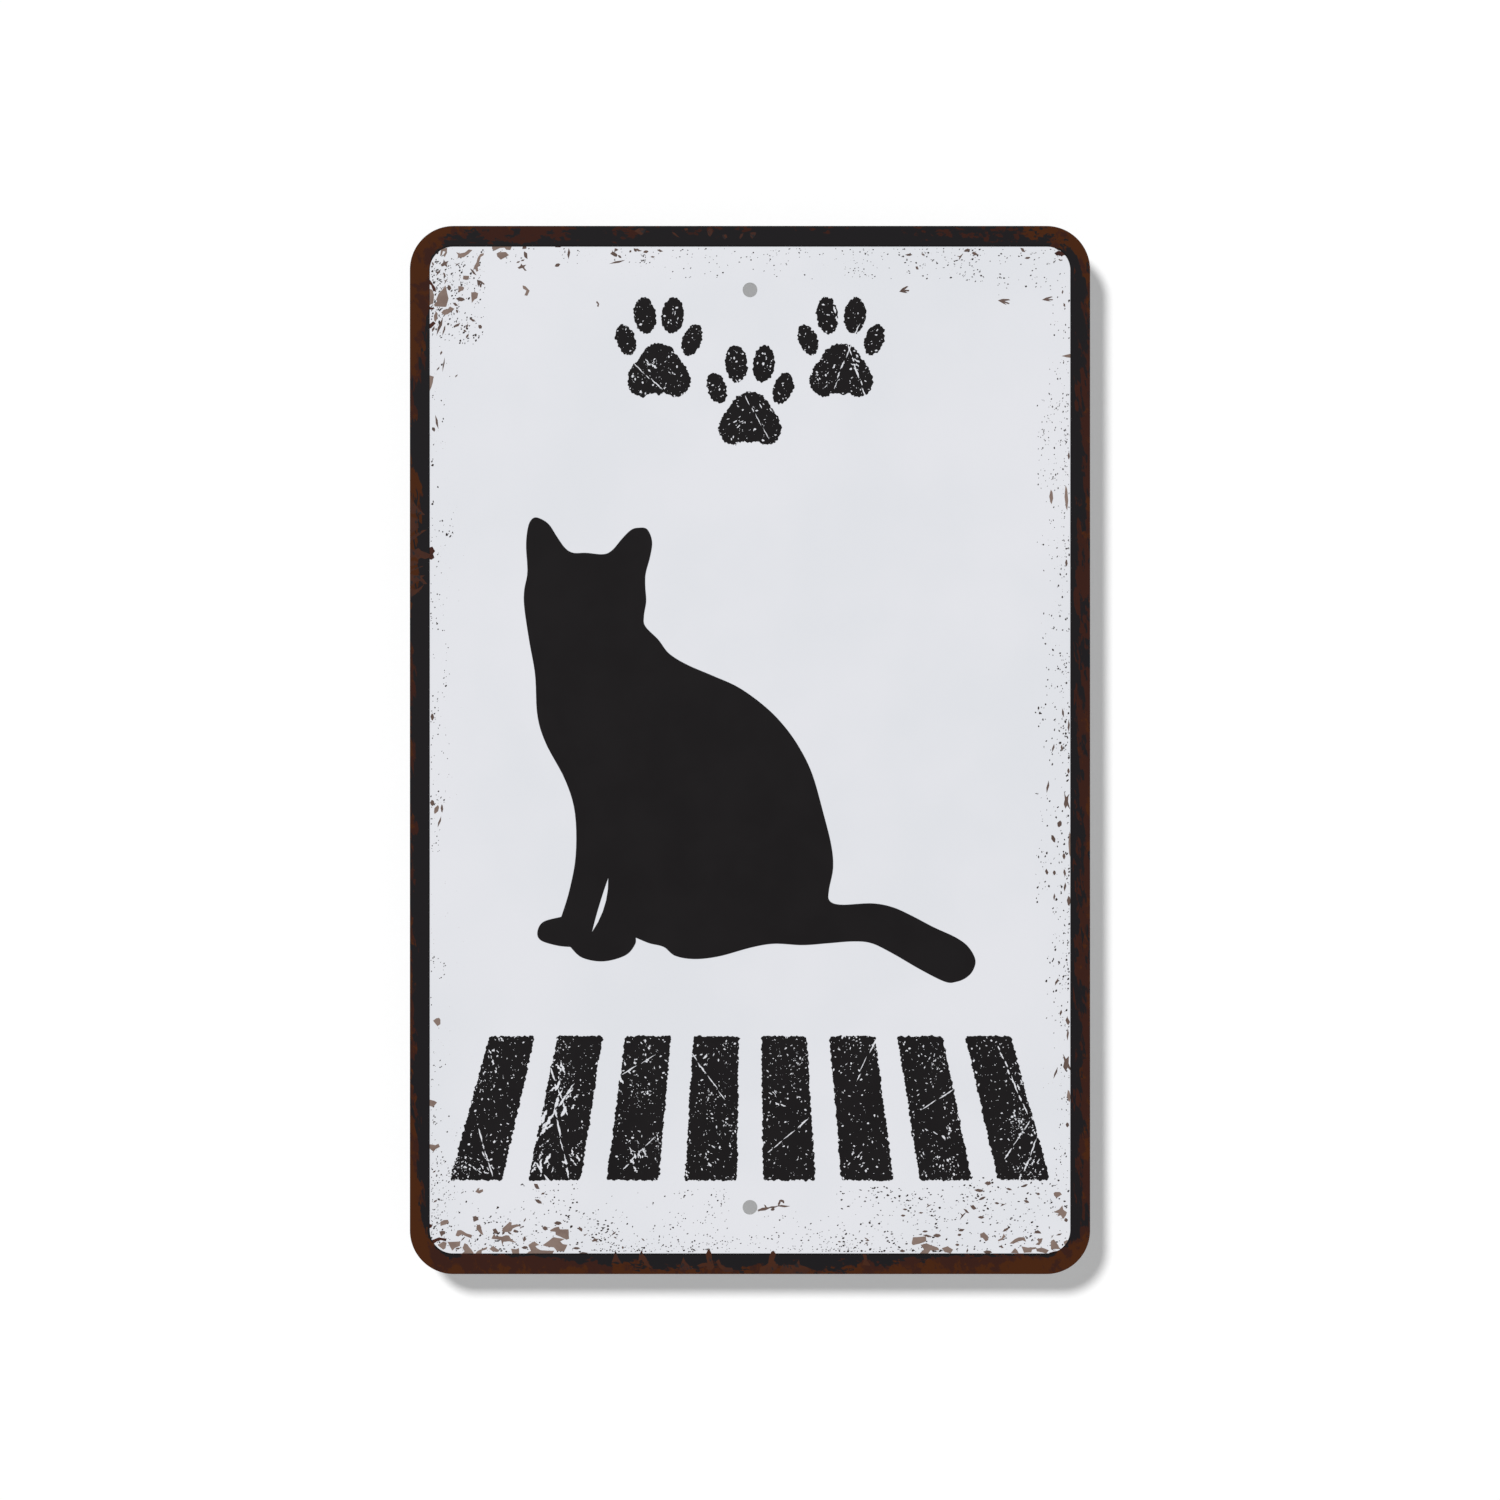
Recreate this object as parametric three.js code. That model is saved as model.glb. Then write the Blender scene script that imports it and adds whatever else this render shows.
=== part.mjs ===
// Cat crossing sign: a small upright metal plate with rounded corners and two screw holes.
// A white coat covers its face. On the coat lie a dark border, a seated cat, three paw prints
// above the cat and the bars of a street crossing below it, each one a thin layer of ink.
//
// Lengths are in millimetres. The plate's back lies in the wall's plane, y = 0, with the origin
// at its middle. Its face looks towards -Y, and +Z points up.

import * as THREE from "three";

// Aluminium sheet
const SHEET_WIDTH = 197.8;
const SHEET_HEIGHT = 304.8;
const SHEET_THICKNESS = 1;
const SHEET_CORNER_RADIUS = 12.7;

// Screw holes on the upright centre line, each measured from the nearer end of the sheet
const HOLE_DIAMETER = 4.3;
const TOP_HOLE_INSET = 18.6;
const BOTTOM_HOLE_INSET = 19.4;

// Layers on the sheet's face, from the sheet outwards
const COAT_THICKNESS = 0.0625;
const INK_THICKNESS = 0.0625;

// Dark border around the white panel
const BORDER_SIDE_WIDTH = 5.75;
const BORDER_END_WIDTH = 6;
const PANEL_CORNER_RADIUS = 6.8;

// Row of paw prints in the upper part of the panel, the middle one set lower than its neighbours
const PAW_ROW_TOP_MARGIN = 14.7;
const PAW_WIDTH = 25;
const PAW_HEIGHT = 29;
const PAW_GAP = 1.5;
const PAW_STAGGER = 14;

// Seated cat, which fills the height between the paw prints and the crossing
const CAT_TOP_GAP = 21.1;
const CAT_SIDE_MARGIN = 27.5;

// Bars of the crossing, which draw together a little towards their tops
const CROSSING_TOP_GAP = 15.8;
const CROSSING_HEIGHT = 41.9;
const CROSSING_SIDE_MARGIN = 5.9;
const CROSSING_BOTTOM_MARGIN = 21.3;
const CROSSING_TAPER = 11.5;
const BAR_GAP = 7.6;
const BAR_COUNT = 8;

// Straight runs in a quarter circle or a pad, and between two points of a free curve
const ARC_STEPS = 12;
const CURVE_STEPS = 5;
const PAD_STEPS = 56;

const QUARTER_TURN = Math.PI / 2;
const HALF_TURN = Math.PI;
const FULL_TURN = 2 * Math.PI;

// The cat's outline as shares of its width and height, from the lower left, running clockwise
// in three stretches that meet at sharp notches: the body with the head and the tail, the near
// front paw, and the far front paw.
const catBodyShares = [
  [0.082, 0.140], [0.100, 0.197], [0.114, 0.273], [0.112, 0.365], [0.090, 0.436], [0.048, 0.513],
  [0.029, 0.574], [0.024, 0.661], [0.011, 0.734], [0.000, 0.807], [0.000, 0.844], [0.007, 0.883],
  [0.004, 0.941], [0.009, 0.982], [0.020, 0.999], [0.035, 0.998], [0.055, 0.985], [0.073, 0.958],
  [0.091, 0.934], [0.109, 0.924], [0.137, 0.924], [0.175, 0.921], [0.195, 0.930], [0.217, 0.955],
  [0.236, 0.973], [0.252, 0.978], [0.272, 0.975], [0.283, 0.949], [0.279, 0.917], [0.269, 0.880],
  [0.268, 0.852], [0.270, 0.820], [0.265, 0.788], [0.268, 0.766], [0.297, 0.737], [0.321, 0.707],
  [0.361, 0.683], [0.416, 0.660], [0.475, 0.634], [0.532, 0.594], [0.574, 0.553], [0.609, 0.505],
  [0.638, 0.447], [0.662, 0.365], [0.680, 0.294], [0.684, 0.245], [0.675, 0.199], [0.676, 0.175],
  [0.702, 0.166], [0.769, 0.169], [0.815, 0.161], [0.857, 0.143], [0.906, 0.118], [0.955, 0.096],
  [0.983, 0.076], [0.999, 0.048], [0.994, 0.025], [0.979, 0.009], [0.957, 0.000], [0.932, 0.000],
  [0.878, 0.026], [0.814, 0.062], [0.769, 0.083], [0.729, 0.087], [0.673, 0.083], [0.616, 0.079],
  [0.554, 0.082], [0.503, 0.074], [0.432, 0.055], [0.377, 0.049], [0.334, 0.056], [0.309, 0.075],
  [0.277, 0.083], [0.247, 0.095],
];
const catNearPawShares = [[0.245, 0.080], [0.224, 0.057], [0.175, 0.044], [0.128, 0.052], [0.102, 0.075]];
const catFarPawShares = [[0.073, 0.078], [0.037, 0.089], [0.029, 0.107], [0.042, 0.129], [0.082, 0.140]];

// The slit between the front legs: its two tips, and what each of its sides bends towards
const catSlitTopShares = [0.186, 0.224];
const catSlitOuterSideShares = [0.163, 0.161];
const catSlitBottomShares = [0.150, 0.107];
const catSlitInnerSideShares = [0.188, 0.161];

// Right half of a heel pad, from the middle of its lower edge up to its top, as shares of the
// paw print's width and height
const heelPadHalfShares = [
  [0.000, 0.025], [0.090, 0.035], [0.180, 0.000], [0.300, 0.035], [0.365, 0.140], [0.335, 0.265],
  [0.250, 0.370], [0.145, 0.490], [0.000, 0.535],
];

// A paw print's toes from left to right: place, half width and half height as shares of the
// print's width and height, and lean as a share of a quarter turn
const toeShares = [
  { across: -0.385, up: 0.570, halfWidth: 0.110, halfHeight: 0.160, lean: 0.220 },
  { across: -0.160, up: 0.815, halfWidth: 0.128, halfHeight: 0.185, lean: 0.070 },
  { across: 0.160, up: 0.815, halfWidth: 0.128, halfHeight: 0.185, lean: -0.070 },
  { across: 0.385, up: 0.570, halfWidth: 0.110, halfHeight: 0.160, lean: -0.220 },
];

// White panel inside the border
const panelWidth = SHEET_WIDTH - 2 * BORDER_SIDE_WIDTH;
const panelHeight = SHEET_HEIGHT - 2 * BORDER_END_WIDTH;
const panelTop = panelHeight / 2;
const panelBottom = -panelTop;

// The three rows of figures, from the top and the bottom of the panel
const pawRowTop = panelTop - PAW_ROW_TOP_MARGIN;
const pawRowBottom = pawRowTop - PAW_STAGGER - PAW_HEIGHT;
const crossingBottom = panelBottom + CROSSING_BOTTOM_MARGIN;
const crossingTop = crossingBottom + CROSSING_HEIGHT;
const crossingWidth = panelWidth - 2 * CROSSING_SIDE_MARGIN;
const catTop = pawRowBottom - CAT_TOP_GAP;
const catBottom = crossingTop + CROSSING_TOP_GAP;
const catHeight = catTop - catBottom;
const catWidth = panelWidth - 2 * CAT_SIDE_MARGIN;

// Heights of the layers above the wall
const coatBase = SHEET_THICKNESS;
const inkBase = coatBase + COAT_THICKNESS;

const aluminium = new THREE.MeshStandardMaterial({ color: 0xb4b7ba, metalness: 1, roughness: 0.38 });
const whiteCoat = new THREE.MeshStandardMaterial({ color: 0xe3e4e9, metalness: 0, roughness: 0.45 });
const borderInk = new THREE.MeshStandardMaterial({ color: 0x38241d, metalness: 0, roughness: 0.55 });
const blackInk = new THREE.MeshStandardMaterial({ color: 0x211f20, metalness: 0, roughness: 0.5 });

// Draws a rectangle with round corners, centred on the origin, into a path or a shape
function traceRoundedRectangle(path, width, height, radius) {
  const across = width / 2 - radius;
  const up = height / 2 - radius;
  path.absarc(across, -up, radius, -QUARTER_TURN, 0);
  path.absarc(across, up, radius, 0, QUARTER_TURN);
  path.absarc(-across, up, radius, QUARTER_TURN, HALF_TURN);
  path.absarc(-across, -up, radius, HALF_TURN, HALF_TURN + QUARTER_TURN);
  path.closePath();
  return path;
}

// Both screw holes, as paths that a shape of the plate's outline leaves open
function screwHoles() {
  const heights = [SHEET_HEIGHT / 2 - TOP_HOLE_INSET, BOTTOM_HOLE_INSET - SHEET_HEIGHT / 2];
  return heights.map((height) => new THREE.Path().absarc(0, height, HOLE_DIAMETER / 2, 0, FULL_TURN));
}

// The plate's outline with its screw holes, which the sheet and its coat share
function plateShape() {
  const shape = traceRoundedRectangle(new THREE.Shape(), SHEET_WIDTH, SHEET_HEIGHT, SHEET_CORNER_RADIUS);
  shape.holes = screwHoles();
  return shape;
}

// The ring between the plate's outline and the white panel
function borderShape() {
  const shape = traceRoundedRectangle(new THREE.Shape(), SHEET_WIDTH, SHEET_HEIGHT, SHEET_CORNER_RADIUS);
  shape.holes = [traceRoundedRectangle(new THREE.Path(), panelWidth, panelHeight, PANEL_CORNER_RADIUS)];
  return shape;
}

// A point of the cat from its shares of the cat's width and height
function catPoint([across, up]) {
  return new THREE.Vector2(across * catWidth - catWidth / 2, catBottom + up * catHeight);
}

// The cat's silhouette, with the slit between its front legs left open
function catShape() {
  const [start, ...body] = catBodyShares.map(catPoint);
  const shape = new THREE.Shape();
  shape.moveTo(start.x, start.y);
  shape.splineThru(body);
  shape.splineThru(catNearPawShares.map(catPoint));
  shape.splineThru(catFarPawShares.map(catPoint));

  const top = catPoint(catSlitTopShares);
  const outerSide = catPoint(catSlitOuterSideShares);
  const bottom = catPoint(catSlitBottomShares);
  const innerSide = catPoint(catSlitInnerSideShares);
  const slit = new THREE.Path();
  slit.moveTo(top.x, top.y);
  slit.quadraticCurveTo(outerSide.x, outerSide.y, bottom.x, bottom.y);
  slit.quadraticCurveTo(innerSide.x, innerSide.y, top.x, top.y);
  shape.holes = [slit];
  return shape;
}

// The heel pad of a paw print whose lower edge has its middle at (x, y)
function heelPadShape(x, y) {
  const leftHalf = heelPadHalfShares.slice(1, -1).reverse().map(([across, up]) => [-across, up]);
  const points = [...heelPadHalfShares, ...leftHalf].map(
    ([across, up]) => new THREE.Vector3(x + across * PAW_WIDTH, y + up * PAW_HEIGHT, 0),
  );
  const outline = new THREE.CatmullRomCurve3(points, true, "catmullrom").getPoints(PAD_STEPS);
  outline.pop();
  return new THREE.Shape(outline);
}

// One toe of a paw print whose lower edge has its middle at (x, y)
function toeShape(x, y, toe) {
  const shape = new THREE.Shape();
  const across = x + toe.across * PAW_WIDTH;
  const up = y + toe.up * PAW_HEIGHT;
  const halfWidth = toe.halfWidth * PAW_WIDTH;
  const halfHeight = toe.halfHeight * PAW_HEIGHT;
  shape.absellipse(across, up, halfWidth, halfHeight, 0, FULL_TURN, false, toe.lean * QUARTER_TURN);
  return shape;
}

// One bar of the crossing, the first one at the left
function barShape(index) {
  const barWidth = (crossingWidth - (BAR_COUNT - 1) * BAR_GAP) / BAR_COUNT;
  const left = index * (barWidth + BAR_GAP) - crossingWidth / 2;
  const right = left + barWidth;
  const topShare = 1 - (2 * CROSSING_TAPER) / crossingWidth;
  return new THREE.Shape([
    new THREE.Vector2(left, crossingBottom),
    new THREE.Vector2(right, crossingBottom),
    new THREE.Vector2(right * topShare, crossingTop),
    new THREE.Vector2(left * topShare, crossingTop),
  ]);
}

const sign = new THREE.Group();

// Adds a flat layer to the sign, with its underside at the given height above the wall
function addLayer(name, shape, base, thickness, finish, steps = ARC_STEPS) {
  const settings = { depth: thickness, bevelEnabled: false, curveSegments: steps };
  const mesh = new THREE.Mesh(new THREE.ExtrudeGeometry(shape, settings), finish);
  mesh.name = name;
  mesh.position.z = base;
  sign.add(mesh);
}

addLayer("aluminium_sheet", plateShape(), 0, SHEET_THICKNESS, aluminium);
addLayer("white_base_coat", plateShape(), coatBase, COAT_THICKNESS, whiteCoat);
addLayer("border_ink", borderShape(), inkBase, INK_THICKNESS, borderInk);
addLayer("cat_silhouette_ink", catShape(), inkBase, INK_THICKNESS, blackInk, CURVE_STEPS);

["left", "middle", "right"].forEach((side, column) => {
  const x = (column - 1) * (PAW_WIDTH + PAW_GAP);
  const y = side === "middle" ? pawRowBottom : pawRowBottom + PAW_STAGGER;
  addLayer(`${side}_paw_heel_pad_ink`, heelPadShape(x, y), inkBase, INK_THICKNESS, blackInk);
  toeShares.forEach((toe, index) => {
    addLayer(`${side}_paw_toe_pad_${index + 1}_ink`, toeShape(x, y, toe), inkBase, INK_THICKNESS, blackInk);
  });
});

for (let index = 0; index < BAR_COUNT; index += 1) {
  addLayer(`crossing_bar_${index + 1}_ink`, barShape(index), inkBase, INK_THICKNESS, blackInk);
}

// The layers are drawn lying flat, and the finished sign stands upright
sign.rotation.x = QUARTER_TURN;

export default sign;
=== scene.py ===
"""Cat crossing sign: a printed metal plate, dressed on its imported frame.

The frame's plate, coat, border and cat keep their shapes and get their finishes here. The paw
prints and the crossing bars are re-cut with ragged, flaked edges, and the panel gets its chips,
specks and rust bites. Sizes are in millimetres where a name or a docstring says so, and places
are millimetres across and up from the sign's middle. Blender itself works in metres.
"""

import logging
import math
import random
from collections.abc import Callable, Iterable
from dataclasses import dataclass, field
from enum import Enum
from typing import Any

import bmesh
import bpy
from mathutils import Matrix, Vector


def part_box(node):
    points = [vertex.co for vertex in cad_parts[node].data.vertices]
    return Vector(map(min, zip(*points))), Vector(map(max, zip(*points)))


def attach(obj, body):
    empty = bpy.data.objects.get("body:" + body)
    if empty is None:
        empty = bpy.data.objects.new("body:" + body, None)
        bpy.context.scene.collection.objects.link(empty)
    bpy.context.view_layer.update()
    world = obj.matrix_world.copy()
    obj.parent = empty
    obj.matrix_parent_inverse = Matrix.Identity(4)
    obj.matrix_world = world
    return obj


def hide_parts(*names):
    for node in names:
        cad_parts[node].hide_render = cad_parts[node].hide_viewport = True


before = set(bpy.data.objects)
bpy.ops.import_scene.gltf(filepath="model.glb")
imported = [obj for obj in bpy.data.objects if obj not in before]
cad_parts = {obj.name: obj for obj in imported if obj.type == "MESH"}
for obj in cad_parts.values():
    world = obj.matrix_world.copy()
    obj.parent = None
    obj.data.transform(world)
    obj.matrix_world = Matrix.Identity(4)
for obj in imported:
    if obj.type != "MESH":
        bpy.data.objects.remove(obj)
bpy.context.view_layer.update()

LOG = logging.getLogger("cat_crossing_sign")
BODY = "root"
MM = 0.001
QUARTER_TURN = math.pi / 2

# Half of a pattern of unit size
HALF = 0.5

# Half sizes of the sheet, its corner radius and the width of its border, in millimetres
SHEET_HALF_WIDTH = 98.9
SHEET_HALF_HEIGHT = 152.4
SHEET_CORNER = 12.7
BORDER_WIDTH = 5.9

# Two points closer than this, in metres, are one
SAME_PLACE = 1e-6

# A face whose normal's share along Y is above this looks forwards or backwards
FACING = 0.5

Point = tuple[float, float]
Band = tuple[float, float]
Disc = tuple[float, float, float]
Outlines = dict[str, tuple[Point, ...]]
Colour = tuple[float, float, float, float]
Thing = bpy.types.Object
Socket = bpy.types.NodeSocket


def paint(red: int, green: int, blue: int) -> Colour:
    """Turn a swatch's three bytes into the linear colour that a shader takes.

    Args:
        red: the swatch's red byte.
        green: the swatch's green byte.
        blue: the swatch's blue byte.

    Returns:
        Linear red, green and blue, and an alpha of one.
    """
    knee, slope, power, lift, straight, top = 0.04045, 1.055, 2.4, 0.055, 12.92, 255

    def linear(byte: int) -> float:
        """Undo the screen's curve for one byte."""
        share = byte / top
        return share / straight if share <= knee else ((share + lift) / slope) ** power

    return linear(red), linear(green), linear(blue), 1.0


def grey(level: float) -> Colour:
    """A linear grey of this level."""
    return level, level, level, 1.0


class Slot(Enum):
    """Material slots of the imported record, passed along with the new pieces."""

    WHITE_COAT = "white_coat"
    BORDER_INK = "border_ink"
    BLACK_INK = "black_ink"


class Cut(Enum):
    """Outlines that most chips of the print share, as shares of a chip's length and width."""

    WEDGE = ((-0.5, -0.42), (0.5, -0.5), (0.32, 0.05), (0.02, 0.5), (-0.2, 0.1))
    SHARD = ((-0.5, 0.1), (-0.2, -0.3), (0.1, -0.5), (0.5, -0.12), (-0.12, 0.5))
    LEAF = ((-0.5, 0.05), (-0.25, -0.35), (0.1, -0.5), (0.5, -0.1), (0.3, 0.35), (-0.12, 0.5))
    PENTAGON = ((-0.5, 0.3), (-0.42, -0.12), (-0.15, -0.5), (0.5, 0.1), (0.25, 0.5), (-0.3, 0.5))
    DROP = ((-0.5, 0.4), (-0.38, 0), (-0.15, -0.5), (0.1, -0.2), (0.48, 0), (0.5, 0.42), (0.1, 0.5))
    BLOCK = ((-0.5, -0.5), (0.15, -0.45), (0.5, -0.25), (0.45, 0.35), (0, 0.5), (-0.42, 0.3))
    NEEDLE = ((-0.5, 0), (0.1, -0.5), (0.5, 0.1), (-0.1, 0.5))
    ARROW = ((-0.5, 0.3), (-0.15, 0), (-0.35, -0.5), (0.05, -0.1), (0.5, 0.5), (-0.05, 0.15))
    HOOK = ((-0.5, 0.5), (-0.45, 0.2), (0.05, 0), (-0.25, -0.45), (0.15, -0.5), (0.5, 0), (-0.1, 0.42))
    FORK = (
        (-0.5, -0.05), (-0.05, -0.35), (0.3, -0.5), (0.1, -0.2), (0.45, -0.3),
        (0.5, -0.1), (0.05, 0.05), (0.5, 0.38), (0.35, 0.5), (-0.1, 0.35),
    )
    STAR = (
        (-0.5, -0.15), (-0.35, -0.4), (0, -0.25), (0.35, -0.5), (0.25, -0.05),
        (0.5, 0.3), (0.08, 0.2), (-0.1, 0.5), (-0.2, 0.1),
    )


class Crowd(Enum):
    """The side of its patch towards which specks crowd, across and up."""

    EVENLY = (0, 0)
    LEFT = (-1, 0)
    RIGHT = (1, 0)
    DOWN = (0, -1)
    UP = (0, 1)


class Bench:
    """Selecting, copying, joining and cutting, the moves that every piece needs."""

    @staticmethod
    def pick(*pieces: Thing) -> None:
        """Select these pieces alone, the first of them active.

        Args:
            *pieces: what is selected.
        """
        bpy.ops.object.select_all(action="DESELECT")
        for piece in pieces:
            piece.select_set(True)
        bpy.context.view_layer.objects.active = pieces[0]

    @staticmethod
    def settle(piece: Thing) -> None:
        """Put a piece's place, turn and size into its mesh."""
        Bench.pick(piece)
        bpy.ops.object.transform_apply(location=True, rotation=True, scale=True)

    @staticmethod
    def begin(add: Callable[..., Any], **settings: Any) -> Thing:
        """Add a primitive with nothing else selected, and open it in edit mode.

        Args:
            add: the operator that adds it.
            **settings: the operator's settings.

        Returns:
            The primitive.
        """
        bpy.ops.object.select_all(action="DESELECT")
        add(**settings)
        piece = bpy.context.view_layer.objects.active
        Bench.settle(piece)
        bpy.ops.object.mode_set(mode="EDIT")
        return piece

    @staticmethod
    def close() -> None:
        """Turn the faces of the closed piece in edit mode outwards, and leave that mode."""
        bpy.ops.mesh.select_all(action="SELECT")
        bpy.ops.mesh.normals_make_consistent(inside=False)
        bpy.ops.object.mode_set(mode="OBJECT")

    @staticmethod
    def keep_mesh(piece: Thing) -> bpy.types.Mesh:
        """Take a pattern's mesh off the scene, for copies to be made of it.

        Args:
            piece: the pattern.

        Returns:
            Its mesh.
        """
        mesh = piece.data
        bpy.data.objects.remove(piece)
        return mesh

    @staticmethod
    def lay(name: str, pattern: bpy.types.Mesh, place: Matrix) -> Thing:
        """Lay a copy of a pattern on the sign.

        Args:
            name: the copy's name.
            pattern: the mesh that is copied.
            place: the copy's place, turn and size.

        Returns:
            The copy, with a mesh of its own.
        """
        copy = bpy.data.objects.new(name, pattern.copy())
        bpy.context.scene.collection.objects.link(copy)
        copy.matrix_world = place
        return copy

    @staticmethod
    def join(name: str, pieces: list[Thing]) -> Thing:
        """Make one piece of several, its object at the origin.

        Args:
            name: the name of the whole.
            pieces: what is joined.

        Returns:
            The joined piece.
        """
        Bench.pick(*pieces)
        if len(pieces) > 1:
            bpy.ops.object.join()
        whole = bpy.context.view_layer.objects.active
        whole.name = name
        Bench.settle(whole)
        return whole

    @staticmethod
    def select(piece: Thing, chosen: Callable[[Any], bool], kind: str = "verts") -> int:
        """In edit mode, select the corners, edges or faces that pass a test, and no others.

        Args:
            piece: the piece in edit mode.
            chosen: the test.
            kind: verts, edges or faces.

        Returns:
            How many passed.
        """
        mesh = bmesh.from_edit_mesh(piece.data)
        modes = {"verts": {"VERT"}, "edges": {"EDGE"}, "faces": {"FACE"}}
        mesh.select_mode = modes[kind]
        bpy.context.tool_settings.mesh_select_mode = tuple(k == kind for k in modes)
        for group in (mesh.verts, mesh.edges, mesh.faces):
            for part in group:
                part.select_set(False)
        passed = [part for part in getattr(mesh, kind) if chosen(part)]
        for part in passed:
            part.select_set(True)
        mesh.select_flush_mode()
        bmesh.update_edit_mesh(piece.data)
        return len(passed)

    @staticmethod
    def apply(piece: Thing, kind: str, **settings: Any) -> None:
        """Add one modifier with these settings and apply it.

        Args:
            piece: the piece that it shapes.
            kind: the modifier's type.
            **settings: its settings.
        """
        Bench.pick(piece)
        bpy.ops.object.modifier_add(type=kind)
        modifier = piece.modifiers[-1]
        for key, value in settings.items():
            setattr(modifier, key, value)
        bpy.ops.object.modifier_apply(modifier=modifier.name)

    @staticmethod
    def knock_out(piece: Thing, tools: Thing) -> None:
        """Cut closed tools out of a piece and throw the tools away."""
        Bench.apply(piece, "BOOLEAN", operation="DIFFERENCE", solver="MANIFOLD", object=tools)
        bpy.data.objects.remove(tools)


class NodeTable:
    """Adds and links the nodes of one material or world."""

    def __init__(self, owner: bpy.types.Material | bpy.types.World) -> None:
        """Open the owner's nodes.

        Args:
            owner: the material or world.
        """
        owner.use_nodes = True
        self.nodes = owner.node_tree.nodes
        self.links = owner.node_tree.links

    def add(self, kind: str, feeds: dict[Any, Any] | None = None, **settings: Any) -> bpy.types.Node:
        """Add a node.

        Args:
            kind: its type.
            feeds: a value or a socket for each of its inputs that isn't left as it is.
            **settings: its settings.

        Returns:
            The node.
        """
        node = self.nodes.new(kind)
        for key, value in settings.items():
            setattr(node, key, value)
        for key, value in (feeds or {}).items():
            self.feed(node.inputs[key], value)
        return node

    def feed(self, socket: Socket, value: Any) -> None:
        """Give an input a value, or link a socket to it.

        Args:
            socket: the input.
            value: the value, or the socket that is linked.
        """
        if isinstance(value, Socket):
            self.links.new(value, socket)
        else:
            socket.default_value = value

    def calc(self, operation: str, first: Any, second: Any = 0.0, third: Any = 0.0) -> Socket:
        """One step of arithmetic."""
        feeds = {0: first, 1: second, 2: third}
        return self.add("ShaderNodeMath", feeds, operation=operation).outputs[0]


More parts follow.
